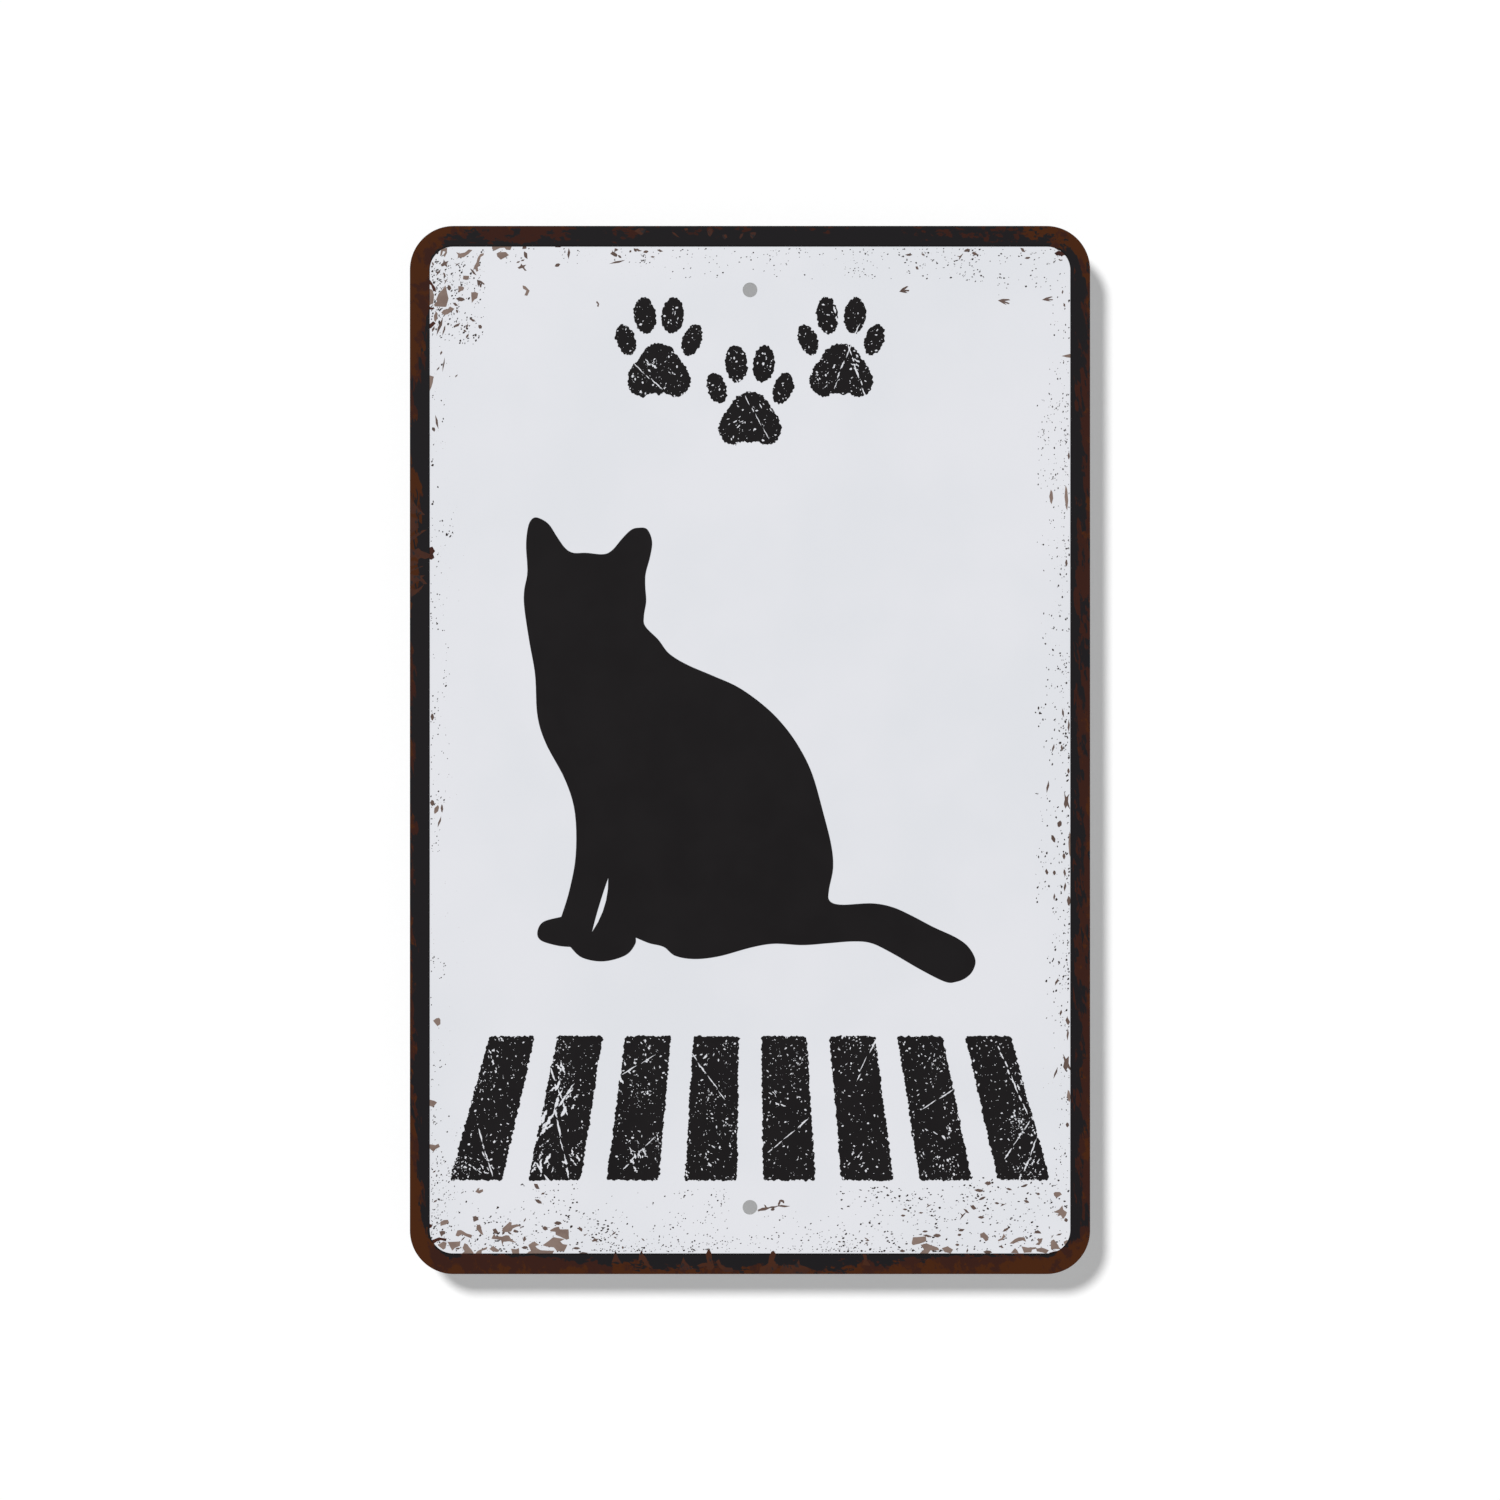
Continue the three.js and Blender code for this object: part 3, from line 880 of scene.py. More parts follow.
# Chips, in the order in which they are laid over each other
CHIPS: tuple[Chip, ...] = (
    # Upper left
    Chip(Cut.PENTAGON, (-71.9, 143.7), 3.5, 2.1),
    Chip(Cut.SHARD, (-65.2, 143.9), 2.4, 1.1, -60),
    Chip(Cut.BLOCK, (-65.6, 146.1), 1.1, 0.7),
    Chip(Cut.STAR, (-88.8, 141.5), 2.2, 2.2),
    Chip(Cut.ARROW, (-90.7, 138.8), 1.6, 1.9),
    Chip(Cut.SHARD, (-82.6, 137.4), 1.9, 1.7, 40),
    Chip(Cut.NEEDLE, (-80.5, 139.0), 2.7, 0.6, -48),
    Chip(Cut.FORK, (-78.6, 135.8), 2.4, 1.9, -55),
    Chip(Cut.LEAF, (-87.5, 134.4), 1.1, 1.5),
    Chip(Cut.DROP, (-84.2, 133.9), 1.6, 1.9, -15),
    Chip(Cut.NEEDLE, (-85.7, 129.6), 1.7, 0.7, -30),
    Chip(Cut.LEAF, (-84.2, 131.1), 2.6, 1.1, -5),
    Chip(Cut.DROP, (-80.3, 131.6), 1.9, 3.2, -10),
    Chip(Cut.LEAF, (-91.4, 126.0), 1.0, 3.0, -8),
    Chip(Cut.NEEDLE, (-90.2, 123.2), 5.5, 0.8, 70),
    Chip(Cut.NEEDLE, (-89.0, 122.0), 3.0, 0.4, 73),
    Chip(Cut.NEEDLE, (-80.7, 125.0), 1.9, 0.6, -22),
    Chip(Cut.LEAF, (-78.5, 123.1), 1.2, 1.0, -40),
    Chip(Cut.NEEDLE, (-85.2, 123.5), 2.2, 0.7, 33),
    Chip(Cut.NEEDLE, (-82.3, 123.2), 1.7, 0.4, 70),
    Chip(Cut.SHARD, (-82.9, 121.9), 1.0, 0.5, -20),
    Chip(Cut.NEEDLE, (-82.2, 120.4), 1.5, 0.5, 60),
    Chip(Cut.NEEDLE, (-67.4, 141.9), 1.1, 0.4, 25),
    Chip(Cut.NEEDLE, (-66.1, 142.4), 1.1, 0.4, 20),
    Chip(Cut.STAR, (-66.3, 140.6), 2.4, 1.6),
    Chip(Cut.NEEDLE, (-65.5, 139.7), 1.2, 0.4, -35),
    Chip(Cut.LEAF, (-56.0, 141.0), 1.6, 0.9, 25),
    Chip(Cut.NEEDLE, (-52.7, 144.4), 3.1, 0.7, 88),
    Chip(Cut.HOOK, (-65.1, 133.6), 1.9, 2.9),
    Chip(Cut.HOOK, (-44.3, 129.7), 0.7, 1.4),
    Chip(Cut.NEEDLE, (-89.8, 115.5), 1.2, 0.5, 70),
    Chip(Cut.NEEDLE, (-89.1, 112.1), 4.1, 0.3, 81),
    Chip(Cut.NEEDLE, (-90.7, 110.9), 1.4, 0.3, 55),
    Chip(Cut.NEEDLE, (-85.4, 108.8), 1.0, 0.3, 50),
    Chip(Cut.SHARD, (-92.2, 141.4), 0.5, 1.0),
    Chip(Cut.ARROW, (-85.1, 141.2), 1.6, 0.9),
    Chip(Cut.NEEDLE, (-88.9, 138.3), 1.3, 0.5, -55),
    Chip(Cut.ARROW, (-88.5, 136.3), 1.1, 1.6),
    Chip(Cut.SHARD, (-85.2, 127.6), 0.6, 1.0),
    Chip(Cut.NEEDLE, (-92.1, 122.4), 1.7, 0.6, 68),
    # Upper right
    Chip(Cut.FORK, (44.8, 133.7), 2.8, 1.9, 12),
    Chip(Cut.FORK, (73.8, 130.5), 3.4, 1.7, -12),
    Chip(Cut.FORK, (86.5, 131.1), 3.1, 1.3, 4),
    Chip(Cut.LEAF, (46.2, 144.0), 1.9, 0.5, 3),
    Chip(Cut.NEEDLE, (50.3, 144.1), 1.1, 0.5, -25),
    Chip(Cut.SHARD, (48.6, 140.2), 1.1, 0.8, -30),
    Chip(Cut.ARROW, (61.2, 143.4), 1.9, 1.6, 12),
    Chip(Cut.LEAF, (63.1, 145.3), 1.9, 0.7, 18),
    Chip(Cut.SHARD, (65.3, 144.4), 1.6, 1.0),
    Chip(Cut.NEEDLE, (79.3, 145.4), 1.8, 0.8, -42),
    Chip(Cut.LEAF, (80.7, 143.1), 1.6, 0.5, 8),
    Chip(Cut.NEEDLE, (90.1, 142.5), 1.0, 0.3, -25),
    Chip(Cut.NEEDLE, (89.6, 145.6), 1.9, 0.4, -20),
    Chip(Cut.NEEDLE, (90.9, 133.2), 1.1, 0.4, 82),
    Chip(Cut.NEEDLE, (91.4, 129.4), 1.2, 0.5, -72),
    # Lower left
    Chip(Cut.SHARD, (-62.0, -126.9), 2.2, 1.2, -35),
    Chip(Cut.LEAF, (-61.5, -131.3), 2.2, 0.9, -28),
    Chip(Cut.NEEDLE, (-60.2, -129.0), 1.2, 0.5, 25),
    Chip(Cut.PENTAGON, (-79.8, -136.5), 1.6, 1.6, -20),
    Chip(Cut.BLOCK, (-88.9, -137.4), 2.5, 1.3, 14),
    Chip(Cut.DROP, (-89.5, -140.7), 1.6, 1.6),
    Chip(Cut.SHARD, (-74.0, -139.9), 1.9, 1.4, -20),
    Chip(Cut.SHARD, (-68.2, -139.9), 1.3, 1.0, 20),
    Chip(Cut.ARROW, (-66.5, -138.8), 1.3, 0.8),
    Chip(Cut.LEAF, (-59.6, -139.1), 1.6, 1.1, -15),
    Chip(Cut.LEAF, (-55.9, -137.6), 2.2, 1.0),
    Chip(Cut.LEAF, (-65.5, -144.7), 1.8, 0.8, 5),
    Chip(Cut.LEAF, (-50.5, -144.9), 2.1, 0.6),
    Chip(Cut.NEEDLE, (-48.4, -146.3), 2.6, 0.5),
    Chip(Cut.SHARD, (-49.3, -139.3), 1.0, 1.6, 20),
    Chip(Cut.ARROW, (-47.9, -141.0), 1.3, 0.7),
    Chip(Cut.STAR, (-45.0, -142.5), 2.0, 1.2),
    Chip(Cut.NEEDLE, (-91.5, -131.2), 1.3, 0.4, 38),
    Chip(Cut.NEEDLE, (-91.8, -122.6), 1.1, 0.3, 35),
    Chip(Cut.ARROW, (-65.5, -142.6), 1.1, 1.0),
    Chip(Cut.NEEDLE, (-83.5, -142.2), 1.5, 0.3, 50),
    Chip(Cut.NEEDLE, (-65.5, -136.7), 1.3, 0.3, 62),
    # Lower right
    Chip(Cut.PENTAGON, (89.5, -129.4), 2.3, 1.6),
    Chip(Cut.LEAF, (91.9, -136.7), 1.0, 1.1, 20),
    Chip(Cut.LEAF, (69.2, -126.0), 1.9, 1.0),
    Chip(Cut.LEAF, (66.6, -128.1), 2.8, 0.8, -5),
    Chip(Cut.LEAF, (67.5, -130.4), 2.2, 0.6, 25),
    Chip(Cut.SHARD, (65.0, -133.0), 1.8, 1.3, -10),
    Chip(Cut.NEEDLE, (62.9, -134.1), 2.1, 0.6, -38),
    Chip(Cut.ARROW, (61.8, -135.5), 1.6, 2.3, -10),
    Chip(Cut.LEAF, (67.2, -135.9), 1.8, 0.7),
    Chip(Cut.LEAF, (71.8, -131.8), 1.3, 0.5, -8),
    Chip(Cut.ARROW, (73.5, -132.3), 1.7, 1.1, -15),
    Chip(Cut.LEAF, (75.3, -127.7), 1.7, 0.5, -14),
    Chip(Cut.LEAF, (79.9, -126.7), 1.8, 0.6, 26),
    Chip(Cut.LEAF, (80.4, -131.3), 1.6, 0.7, -20),
    Chip(Cut.LEAF, (83.8, -129.1), 1.0, 0.6),
    Chip(Cut.SHARD, (61.5, -139.6), 1.8, 0.8, 22),
    Chip(Cut.LEAF, (60.9, -141.0), 1.1, 0.6, 10),
    Chip(Cut.LEAF, (74.4, -139.5), 2.1, 0.6, 32),
    Chip(Cut.WEDGE, (83.6, -140.1), 2.2, 0.9),
    Chip(Cut.NEEDLE, (51.6, -141.3), 2.8, 0.6, -10),
    Chip(Cut.LEAF, (54.4, -141.2), 2.2, 1.0),
    Chip(Cut.LEAF, (50.9, -140.0), 1.5, 0.5, 5),
    Chip(Cut.WEDGE, (77.0, -145.6), 2.2, 1.4),
    Chip(Cut.LEAF, (69.1, -146.0), 2.5, 0.9),
    Chip(Cut.LEAF, (44.3, -145.7), 1.6, 0.6),
    Chip(Cut.LEAF, (45.1, -133.6), 1.3, 0.4, -5),
    Chip(Cut.LEAF, (44.5, -135.4), 1.3, 0.5),
    Chip(Cut.ARROW, (51.9, -132.6), 1.3, 1.3, -20),
    Chip(Cut.NEEDLE, (49.7, -134.6), 1.3, 0.4, 5),
    Chip(Cut.LEAF, (60.3, -143.9), 1.1, 0.6),
    Chip(Cut.NEEDLE, (73.2, -144.5), 1.2, 0.5, -35),
    Chip(Cut.NEEDLE, (89.9, -140.9), 1.7, 0.4, 18),
    Chip(Cut.ARROW, (87.9, -141.5), 0.7, 1.0),
    Chip(Cut.NEEDLE, (63.2, -145.6), 1.3, 0.4, 80),
    # Left and right edges
    Chip(Cut.PENTAGON, (-91.1, -79.1), 2.3, 2.0, -90),
    Chip(Cut.LEAF, (-92.4, 9.6), 0.9, 2.0),
    Chip(Cut.LEAF, (-89.6, -17.0), 0.6, 2.3),
    Chip(Cut.LEAF, (-91.2, -17.3), 1.2, 2.6, -25),
    Chip(Cut.LEAF, (-92.4, -15.4), 1.2, 1.7),
    Chip(Cut.NEEDLE, (-90.3, -20.9), 3.2, 0.5, 72),
    Chip(Cut.NEEDLE, (-91.1, 95.4), 4.1, 0.6, -78),
    Chip(Cut.LEAF, (-91.9, 93.2), 0.6, 1.2),
    Chip(Cut.LEAF, (92.0, 73.3), 0.9, 7.3, 2),
    Chip(Cut.LEAF, (87.6, 73.6), 1.0, 4.1),
    Chip(Cut.LEAF, (92.7, 85.5), 0.5, 2.0),
    Chip(Cut.LEAF, (92.0, 54.4), 0.6, 2.0),
    Chip(Cut.NEEDLE, (91.0, 10.8), 2.6, 0.5, -80),
    Chip(Cut.NEEDLE, (92.7, 7.0), 3.5, 0.5, 90),
    Chip(Cut.LEAF, (92.6, -6.1), 0.6, 1.5),
    Chip(Cut.LEAF, (90.7, 0.6), 0.5, 1.7, 10),
    Chip(Cut.NEEDLE, (88.2, 0.6), 2.3, 0.5, 75),
    Chip(Cut.STAR, (92.0, -14.8), 1.7, 5.2, 10),
    Chip(Cut.LEAF, (90.0, -21.5), 1.3, 1.9, -20),
    Chip(Cut.LEAF, (88.2, -25.8), 1.0, 2.3, 20),
    Chip(Cut.LEAF, (93.0, -27.4), 0.7, 7.3),
    Chip(Cut.LEAF, (91.3, -30.9), 0.8, 1.7),
    Chip(Cut.LEAF, (91.5, -35.7), 0.6, 2.0, 8),
    Chip(Cut.NEEDLE, (91.6, -39.8), 2.6, 0.6, 84),
    Chip(Cut.LEAF, (92.7, -43.9), 1.0, 2.9),
    Chip(Cut.LEAF, (88.5, -35.7), 0.8, 1.3),
    Chip(Cut.NEEDLE, (88.5, -42.7), 2.0, 0.5, 88),
    Chip(Cut.SHARD, (86.3, -35.4), 0.9, 1.7),
    Chip(Cut.NEEDLE, (86.6, -10.7), 3.5, 0.6, 80),
    Chip(Cut.SHARD, (92.4, -78.8), 1.2, 2.3),
    Chip(Cut.NEEDLE, (92.4, -82.7), 3.5, 0.5, 88),
    Chip(Cut.STAR, (92.0, -91.0), 2.3, 5.5, 15),
    Chip(Cut.LEAF, (92.7, -100.6), 0.9, 3.5, 4),
    Chip(Cut.LEAF, (92.3, -109.0), 0.9, 1.3),
    Chip(Cut.NEEDLE, (88.9, -93.9), 3.5, 0.5, 70),
    Chip(Cut.NEEDLE, (90.4, -76.4), 1.7, 0.6, 80),
    Chip(Cut.NEEDLE, (89.2, -67.4), 2.3, 0.6, 65),
    # Upper side, left of its middle, and four at the lower left
    Chip(Cut.HOOK, (-44.2, 129.7), 0.6, 1.5),
    Chip(Cut.BLOCK, (-39.5, 144.2), 1.9, 1.0, -35),
    Chip(Cut.WEDGE, (-39.1, 145.5), 1.3, 0.8, 30),
    Chip(Cut.LEAF, (-37.9, 143.5), 1.2, 0.5, -35),
    Chip(Cut.NEEDLE, (-38.6, 141.9), 4.6, 0.5, 13),
    Chip(Cut.LEAF, (-33.4, 145.4), 1.2, 0.6, -55),
    Chip(Cut.LEAF, (-34.8, 145.0), 0.7, 0.5, 60),
    Chip(Cut.LEAF, (-71.7, -140.4), 1.2, 0.6, 60),
    Chip(Cut.LEAF, (-69.9, -140.5), 1.3, 0.4, -30),
    Chip(Cut.NEEDLE, (-85.0, -145.0), 1.5, 0.5, 15),
    Chip(Cut.LEAF, (-65.6, -142.2), 1.6, 0.7, 80),
    Chip(Cut.NEEDLE, (-32.6, 145.4), 2.0, 0.6, -20),
    Chip(Cut.LEAF, (-30.3, 144.9), 1.5, 0.7, 10),
    Chip(Cut.NEEDLE, (-26.2, 145.2), 1.7, 0.6, -15),
    Chip(Cut.NEEDLE, (-28.3, 143.4), 1.2, 0.4),
    # Beside the lower screw hole
    Chip(Cut.BLOCK, (2.9, -133.75), 1.2, 0.5, 12),
    Chip(Cut.LEAF, (4.0, -133.5), 3.6, 0.8, 12),
    Chip(Cut.NEEDLE, (4.5, -132.7), 1.3, 0.4, -50),
    Chip(Cut.NEEDLE, (6.6, -132.95), 3.4, 0.45, 8),
    Chip(Cut.LEAF, (6.6, -133.6), 1.2, 0.7, 20),
    Chip(Cut.NEEDLE, (9.6, -132.65), 4.0, 0.55, -2),
    Chip(Cut.NEEDLE, (8.5, -131.8), 1.9, 0.6, 76),
    Chip(Cut.LEAF, (9.2, -131.1), 1.5, 0.6, -6),
    Chip(Cut.LEAF, (9.7, -131.5), 0.7, 0.4, -60),
    # Above the lower border's middle
    Chip(Cut.NEEDLE, (-39.6, -140.6), 1.7, 0.35, 38),
    Chip(Cut.NEEDLE, (-39.2, -141.8), 0.9, 0.35, -20),
    Chip(Cut.NEEDLE, (-31.1, -142.4), 1.1, 0.3, -38),
    Chip(Cut.LEAF, (-37.0, -144.7), 0.5, 0.7),
    Chip(Cut.HOOK, (-44.9, -142.4), 1.1, 0.8, 20),
    Chip(Cut.HOOK, (34.0, -142.4), 1.5, 0.7, -18),
    Chip(Cut.NEEDLE, (33.9, -143.4), 0.9, 0.35, 15),
    Chip(Cut.LEAF, (26.0, -143.0), 0.8, 0.3, -8),
)

# Flakes with outlines of their own, as the corners of each on the sign
FLAKES: Outlines = {
    "hooked flake": (
        (-90.2, 143.6), (-89.8, 145.6), (-88.1, 146.0), (-88.1, 144.6), (-88.8, 143.3), (-89.2, 143.9),
        (-88.6, 144.9), (-89.3, 145.1), (-89.6, 143.9),
    ),
    "smile": (
        (-85.5, 144.8), (-84.3, 144.4), (-82.9, 144.7), (-81.8, 145.6), (-80.7, 145.4), (-82.0, 144.2),
        (-83.2, 143.3), (-85.0, 143.1), (-84.9, 144.0),
    ),
    "bent strip": (
        (-78.5, 144.2), (-77.4, 144.5), (-77.5, 143.9), (-78.3, 143.4), (-78.8, 141.8), (-78.6, 140.8),
        (-79.2, 140.4), (-79.0, 139.3), (-79.6, 139.1), (-79.9, 140.0), (-80.5, 139.6), (-80.1, 140.9),
        (-79.5, 141.9), (-79.2, 143.1),
    ),
    "upper edge strip": (
        (-75.0, 146.5), (-69.3, 146.5), (-69.7, 145.4), (-70.9, 145.5), (-71.4, 146.1), (-72.7, 146.0),
        (-74.4, 145.2), (-75.0, 145.7),
    ),
    "corner triangle": (
        (-88.6, 135.1), (-87.7, 131.3), (-88.3, 128.9), (-91.7, 129.0), (-91.9, 129.6), (-91.0, 130.5),
        (-91.3, 131.0), (-90.5, 132.8), (-89.5, 133.8),
    ),
    "left edge slab": ((-93.3, 134.1), (-92.4, 133.9), (-91.9, 132.4), (-92.1, 129.9), (-93.3, 129.3)),
    "slanted band": (
        (-89.8, 127.2), (-89.1, 128.0), (-87.8, 128.3), (-87.3, 129.0), (-85.9, 128.3), (-87.9, 126.8),
        (-88.9, 126.4),
    ),
    "left edge spike": ((-93.3, 109.0), (-92.0, 108.6), (-92.4, 106.3), (-93.3, 103.9)),
    "right edge arrow": ((90.6, 114.6), (92.2, 115.0), (93.7, 115.3), (93.7, 114.0), (92.1, 114.2)),
    "left edge nib": ((-93.3, -101.7), (-91.8, -102.0), (-91.0, -102.5), (-92.1, -103.8), (-93.3, -103.5)),
    "left edge claw": (
        (-93.3, -114.6), (-91.5, -114.9), (-90.6, -114.5), (-90.2, -115.4), (-91.5, -116.1),
        (-92.0, -116.8), (-92.7, -116.3), (-93.3, -115.7),
    ),
    "small cup": (
        (-79.9, -128.5), (-79.2, -127.5), (-78.6, -127.3), (-78.9, -128.1), (-77.7, -127.7),
        (-77.6, -128.4), (-78.8, -129.0),
    ),
    "leaning strip": ((-79.4, -138.1), (-78.5, -138.0), (-77.5, -141.1), (-78.3, -140.8), (-79.6, -139.2)),
    "lower smile": (
        (-85.6, -141.2), (-85.1, -139.7), (-84.0, -139.6), (-82.5, -140.5), (-80.8, -141.1),
        (-81.1, -142.0), (-82.6, -141.4), (-83.8, -140.9), (-84.9, -141.5),
    ),
    "long eared splash": (
        (-72.2, -140.0), (-71.9, -139.0), (-71.0, -138.2), (-69.9, -137.2), (-69.3, -137.4),
        (-69.4, -138.2), (-67.7, -137.9), (-66.7, -138.4), (-68.0, -138.7), (-69.0, -139.2),
        (-69.5, -140.0), (-70.8, -140.2),
    ),
    "torn zigzag": (
        (-75.2, -142.1), (-74.4, -140.6), (-74.0, -141.4), (-72.1, -141.5), (-71.0, -141.1),
        (-70.1, -141.2), (-69.5, -142.2), (-68.0, -143.3), (-70.0, -142.9), (-71.7, -143.0),
        (-72.0, -144.2), (-72.4, -142.6), (-74.0, -142.3),
    ),
    "stepped slab": (
        (-58.2, -139.7), (-56.9, -138.9), (-55.6, -138.6), (-55.3, -139.4), (-52.8, -139.4),
        (-52.6, -142.1), (-53.3, -142.4), (-56.5, -141.0), (-56.6, -140.1), (-57.9, -140.0),
    ),
    "broad slab": (
        (-60.3, -144.0), (-58.8, -142.9), (-57.2, -141.7), (-53.9, -142.2), (-55.2, -142.9),
        (-54.4, -143.7), (-53.1, -143.9), (-54.0, -145.8), (-56.2, -145.7), (-57.0, -144.7),
        (-59.2, -144.4),
    ),
    "corner block": (
        (-90.8, -144.0), (-89.2, -142.9), (-88.2, -143.3), (-88.6, -144.9), (-89.2, -145.3),
        (-90.0, -144.7),
    ),
    "hanging wedge": ((-88.0, -143.1), (-84.2, -142.9), (-84.4, -144.2), (-85.8, -144.8), (-86.6, -145.6)),
    "low wedge": (
        (-83.0, -143.4), (-82.2, -143.8), (-80.4, -146.2), (-80.4, -146.7), (-84.1, -146.7),
        (-83.0, -145.8), (-83.6, -144.8),
    ),
    "low ramp": (
        (-80.2, -146.7), (-79.0, -145.5), (-76.4, -144.5), (-76.6, -145.2), (-78.0, -145.6),
        (-78.1, -146.7),
    ),
    "low roof": ((-75.8, -145.1), (-74.7, -144.2), (-72.8, -145.6), (-73.5, -146.0), (-74.8, -145.8)),
    "low stump": ((-69.5, -145.0), (-68.1, -145.2), (-67.2, -144.8), (-67.1, -146.7), (-69.0, -146.7)),
    "low ridge": (
        (-65.4, -146.7), (-63.7, -145.6), (-64.5, -143.9), (-62.7, -142.9), (-61.3, -143.9),
        (-62.4, -144.3), (-61.9, -144.9), (-61.0, -145.4), (-59.2, -145.6), (-56.9, -145.6),
        (-57.6, -146.7),
    ),
    "splash": (
        (88.3, -134.4), (89.9, -133.6), (90.8, -132.4), (91.1, -133.7), (92.2, -134.4), (91.8, -135.5),
        (91.0, -136.4), (90.4, -135.3), (89.4, -135.6), (89.7, -134.7),
    ),
    "shield": (
        (66.9, -140.7), (68.0, -140.2), (69.2, -141.3), (69.3, -142.5), (68.5, -142.9), (67.7, -141.9),
        (67.0, -141.8),
    ),
    "crescent": (
        (73.8, -140.6), (74.3, -141.5), (73.3, -142.5), (72.2, -142.9), (72.1, -142.5), (73.2, -141.9),
    ),
    "right smile": (
        (75.5, -143.5), (77.0, -142.2), (78.3, -141.7), (79.8, -141.7), (80.3, -143.0), (79.3, -142.6),
        (78.1, -142.9), (76.6, -143.6),
    ),
    "right hook": (
        (83.4, -142.2), (85.1, -142.0), (84.8, -143.1), (84.1, -144.0), (83.0, -143.8), (83.9, -143.1),
    ),
    "right band": (
        (78.9, -144.3), (80.7, -144.7), (83.2, -144.6), (83.4, -145.0), (82.0, -145.3), (81.8, -146.1),
        (79.7, -146.2),
    ),
    "right slope": (
        (83.2, -145.0), (85.0, -144.7), (86.9, -145.5), (86.2, -146.4), (84.4, -146.0), (83.4, -145.8),
    ),
    "right wedge": (
        (87.5, -142.7), (88.4, -142.3), (89.6, -144.0), (90.1, -145.1), (88.7, -145.1), (87.5, -145.3),
    ),
    "corner nib": ((91.2, -143.0), (92.2, -142.5), (92.9, -142.8), (92.2, -143.9), (91.5, -144.0)),
    "right block": (
        (47.4, -141.7), (51.1, -141.4), (51.3, -142.8), (50.0, -143.4), (47.4, -144.0), (47.0, -143.5),
    ),
    "right ridge": (
        (49.6, -143.9), (51.4, -143.5), (54.8, -144.8), (55.0, -145.5), (52.5, -145.5), (51.5, -146.7),
        (49.1, -146.7), (50.6, -145.2),
    ),
    "right stump": ((55.8, -144.9), (57.5, -144.3), (59.1, -145.3), (58.3, -146.4), (56.6, -146.0)),
}

# Rust that runs from the border into the panel
BITES: Outlines = {
    "upper left claw": (
        (-93.5, 137.3), (-92.7, 136.2), (-92.1, 135.3), (-91.4, 134.3), (-91.3, 133.2), (-92.2, 133.6),
        (-92.7, 135.1), (-93.5, 135.8),
    ),
    "left nib": ((-93.7, 123.5), (-92.1, 124.7), (-91.4, 124.1), (-92.7, 122.7), (-93.7, 122.5)),
    "left thorn": ((-93.5, 129.0), (-92.4, 128.7), (-91.7, 128.4), (-92.4, 128.0), (-93.5, 128.2)),
    "upper edge stain": ((-56.9, 146.7), (-54.8, 146.7), (-55.1, 146.2), (-56.6, 146.2)),
    "upper right claw": (
        (88.5, 144.5), (89.6, 145.2), (90.4, 145.0), (91.5, 144.8), (92.2, 143.9), (91.2, 143.9),
        (90.6, 143.5), (90.0, 143.9), (89.1, 143.8),
    ),
    "lower left tongue": (
        (-93.3, -142.2), (-92.5, -142.5), (-90.4, -141.7), (-88.2, -142.1), (-88.5, -142.9),
        (-89.9, -142.5), (-91.1, -142.9), (-92.0, -143.6), (-93.0, -143.9),
    ),
    "lower left notch": ((-93.5, -137.6), (-92.3, -138.2), (-92.7, -138.9), (-93.5, -139.1)),
    "left middle crumb": (
        (-93.4, 58.8), (-92.4, 59.2), (-91.6, 57.9), (-92.2, 57.0), (-91.8, 55.9), (-92.7, 55.3),
        (-93.4, 55.6),
    ),
    "lower right seam": (
        (86.8, -146.7), (87.1, -146.2), (88.5, -145.8), (89.6, -145.6), (90.4, -145.2), (90.4, -146.7),
    ),
}

